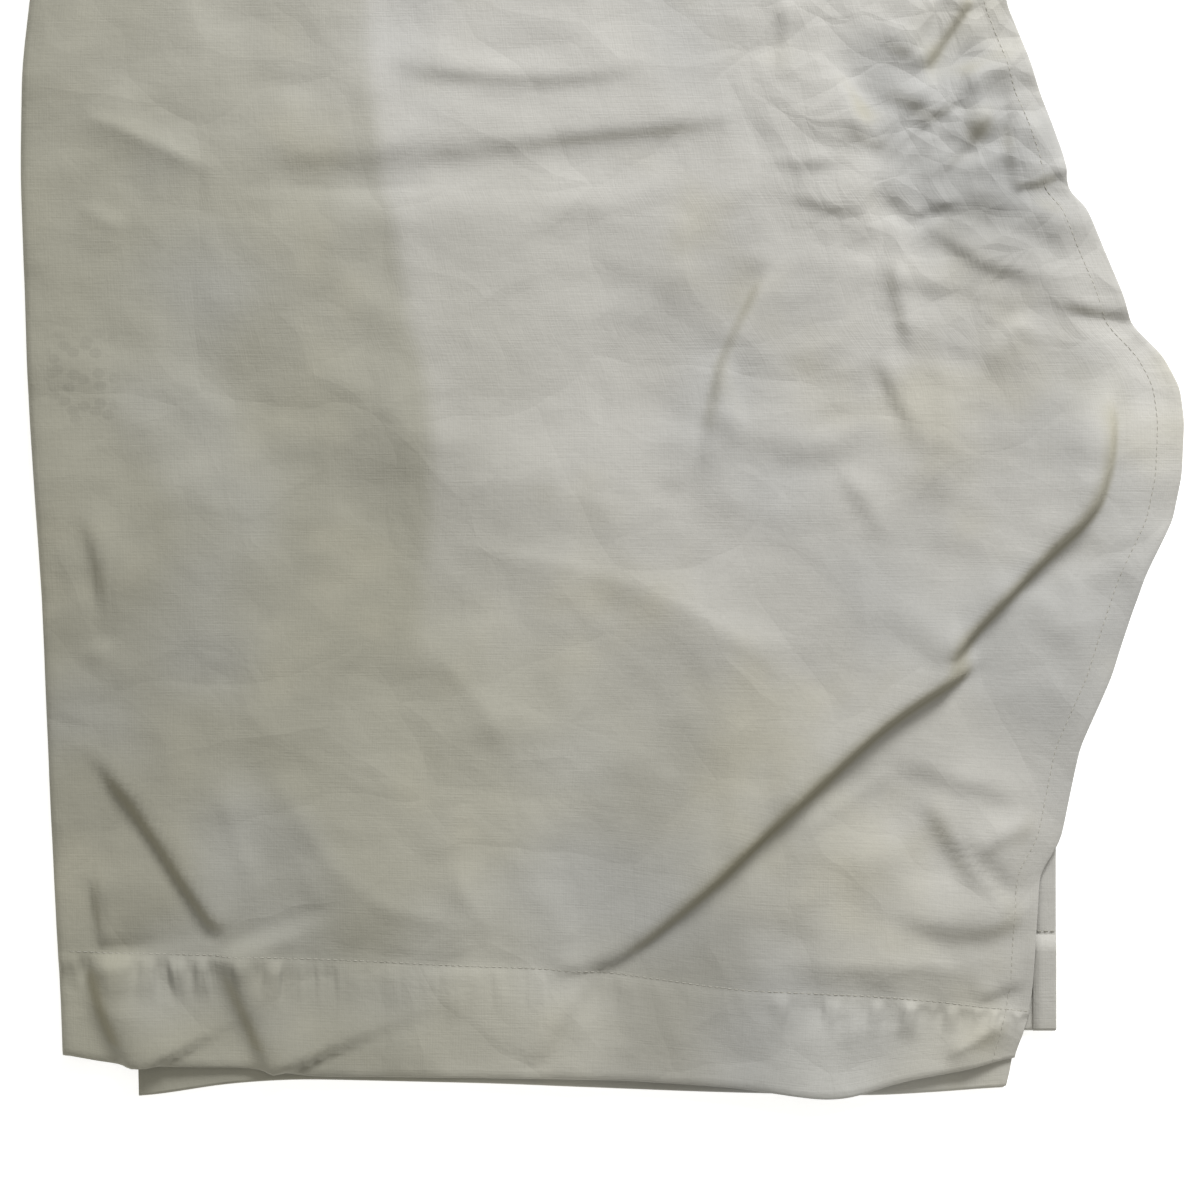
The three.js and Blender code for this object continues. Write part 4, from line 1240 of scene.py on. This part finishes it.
class APRON_OT_waist_ties(bpy.types.Operator):
    """Makes the two waist ties, the front one laid over the apron and the back one laid out beside it"""

    bl_idname = "apron.waist_ties"
    bl_label = "Waist ties"

    def execute(self, context):
        material = tape_material(context.scene.apron_colour)
        self.front(material)
        self.back(material)
        return {"FINISHED"}

    def front(self, material):
        row = (FRONT_TIE_END[0].y + FRONT_TIE_END[1].y) / 2 - HEM_Y
        start_x, turn_x = FRONT_TIE_END[0].x - FOLD_X, TIE_HIGH.x - FOLD_X - 1 * MM
        far_x = TIE_LOW.x - FOLD_X + TAPE_WIDTH / 2
        pitch = TIE_HIGH.y - TIE_LOW.y - TAPE_WIDTH
        stub, leg = turn_x - start_x, turn_x - far_x
        length = stub + 2 * leg + pitch - LAST_LEG_SHORT
        sway = ((0, 0), (stub, 0), (stub + leg * 0.4, 3 * MM), (stub + leg, 0),
                (stub + leg * 1.6, -3 * MM), (length, 0))
        tape = Tape((start_x, row), 0, length, sway=sway)
        tape.fold(stub, math.pi, radius=2.6 * MM, sink=0)
        tape.fold(stub + leg, math.pi / 2, sink=0)
        tape.fold(stub + leg + pitch, 0, sink=0)
        settle = ease((tape.s - stub - leg - pitch - 20 * MM) / (30 * MM)) * 2.6 * MM
        tape.lay(4.4 * MM, 91, ripple=0.7 * MM)
        on_cloth = ease((tape.s - stub) / (12 * MM))
        tape.z = tape.z + on_cloth * 1.0 * MM - settle
        piece = tape.build("front_waist_tie_tape", material)
        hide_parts("waist_tie_front", "tie_end_front")
        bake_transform(piece)

    def back(self, material):
        row = (BACK_TIE_END[0].y + BACK_TIE_END[1].y) / 2 - HEM_Y
        start_x = BACK_TIE_END[0].x - FOLD_X
        turn_x, far_y = BACK_TIE_HIGH.x - FOLD_X - TAPE_WIDTH / 2, BACK_TIE_HIGH.y - HEM_Y - TAPE_WIDTH / 2
        pitch = 35 * MM
        stub, leg = turn_x - start_x, far_y - row
        length = stub + 2 * leg + pitch - LAST_LEG_SHORT
        sway = ((0, 0), (stub, 0), (stub + leg * 0.5, -4 * MM), (stub + leg, 0),
                (stub + leg * 1.5, 3 * MM), (length, 0))
        tape = Tape((start_x, row), 0, length, sway=sway)
        tape.fold(stub, math.pi / 2)
        tape.fold(stub + leg, math.pi)
        tape.fold(stub + leg + pitch, 1.5 * math.pi)
        tape.lay(0.6 * MM, 95)
        inside = 1 - ease((tape.s - 26 * MM) / (26 * MM))
        tape.z = tape.z + 1.6 * MM * inside
        piece = tape.build("back_waist_tie_tape", material)
        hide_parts("waist_tie_back", "tie_end_back")
        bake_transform(piece)


class APRON_OT_stitching(bpy.types.Operator):
    """Sews the rows of stitches along the hems and the armholes, and the squares that hold the tapes"""

    bl_idname = "apron.stitching"
    bl_label = "Stitching"

    def execute(self, context):
        cloth = context.scene.apron_cloth
        front, back = front_sheet(cloth), back_sheet(cloth)
        inset, rise = 2 * MM, 0.32 * MM
        inner = cloth.side_hem - inset
        seed = 200
        halves = (("front", front, HALF_WIDTH, 9 * MM), ("back", back, BACK_EDGE, 38 * MM))
        for half, sheet, edge, first in halves:
            lift = rise + (1.5 * MM if half == "back" else 0)
            across = spaced((first, edge - 1 * MM, 3 * MM))
            up = spaced((inset, WAIST - 16 * MM, 4 * MM))
            arm = spaced((WAIST + 20 * MM, APRON_LENGTH - 2 * MM, 4 * MM))
            low, high = HEM_DEPTH - 0.4 * MM, APRON_LENGTH - TOP_HEM + inset
            rows = (
                (f"hem_stitching_{half}", across, np.full(len(across), low), "skirt"),
                (f"side_stitching_{half}", np.full(len(up), edge - inner), up, "skirt"),
                (f"armhole_stitching_{half}", np.full(len(arm), edge - inner), arm, "bib"),
                (f"top_stitching_{half}", across, np.full(len(across), high), "bib"),
            )
            for name, xi, eta, body in rows:
                seed += 1
                sew(name, [raised(sheet.at(xi, eta), lift)], body, seed)
        self.tacks(front, back)
        return {"FINISHED"}

    def tacks(self, front, back):
        """A small sewn square with its diagonals holds each end of each tape."""
        held = (
            ("strap_tack_front", "bib", front), ("strap_tack_back", "bib", back),
            ("tie_tack_front", "skirt", front), ("tie_tack_back", "skirt", back),
        )
        for seed, (name, body, sheet) in enumerate(held, start=300):
            low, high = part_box(name)
            middle, half = (low + high) / 2, (high.x - low.x) / 2 - 1 * MM
            corners = [(-1, -1), (1, -1), (1, 1), (-1, 1), (-1, -1)]
            lines = [corners, [(-1, -1), (1, 1)], [(1, -1), (-1, 1)]]
            placed = []
            for line in lines:
                flat = np.array(line, float) * half + np.array([middle.x, middle.y])
                ends = [np.linspace(p, q, 8) for p, q in zip(flat[:-1], flat[1:])]
                run = np.concatenate(ends)
                grid = sheet.points.reshape(-1, 3)
                near = [grid[np.argmin(np.hypot(grid[:, 0] - p[0], grid[:, 1] - p[1]))] for p in run]
                height = max(q[2] for q in near) + (0.5 * MM if sheet is front else 2.2 * MM)
                placed.append(np.column_stack([run, np.full(len(run), height)]))
            sew(name, placed, body, seed)


class APRON_PT_panel(bpy.types.Panel):
    """Lists the steps that make the apron"""

    bl_idname = "APRON_PT_panel"
    bl_label = "Butcher apron"
    bl_space_type = "VIEW_3D"
    bl_region_type = "UI"
    bl_category = "Apron"

    def draw(self, context):
        for name in ("apron_cloth", "apron_colour", "apron_stage"):
            settings = getattr(context.scene, name)
            box = self.layout.box()
            for key in settings.__annotations__:
                box.prop(settings, key)
        for step in STEPS:
            self.layout.operator(step)


STEPS = (
    "apron.stage", "apron.back_cloth", "apron.front_cloth", "apron.armhole_facings", "apron.neck_strap",
    "apron.waist_ties", "apron.stitching",
)
CLASSES = (
    ApronClothSettings, ApronColourSettings, ApronStageSettings, APRON_OT_stage, APRON_OT_front_cloth,
    APRON_OT_back_cloth, APRON_OT_armhole_facings, APRON_OT_neck_strap, APRON_OT_waist_ties,
    APRON_OT_stitching, APRON_PT_panel,
)


def register():
    for cls in CLASSES:
        bpy.utils.register_class(cls)
    bpy.types.Scene.apron_cloth = bpy.props.PointerProperty(type=ApronClothSettings)
    bpy.types.Scene.apron_colour = bpy.props.PointerProperty(type=ApronColourSettings)
    bpy.types.Scene.apron_stage = bpy.props.PointerProperty(type=ApronStageSettings)


def unregister():
    for name in ("apron_cloth", "apron_colour", "apron_stage"):
        delattr(bpy.types.Scene, name)
    for cls in reversed(CLASSES):
        bpy.utils.unregister_class(cls)


def main():
    register()
    bpy.ops.apron.stage()
    bpy.ops.apron.back_cloth()
    bpy.ops.apron.front_cloth()
    bpy.ops.apron.armhole_facings()
    bpy.ops.apron.neck_strap()
    bpy.ops.apron.waist_ties()
    bpy.ops.apron.stitching()


if __name__ == "__main__":
    main()
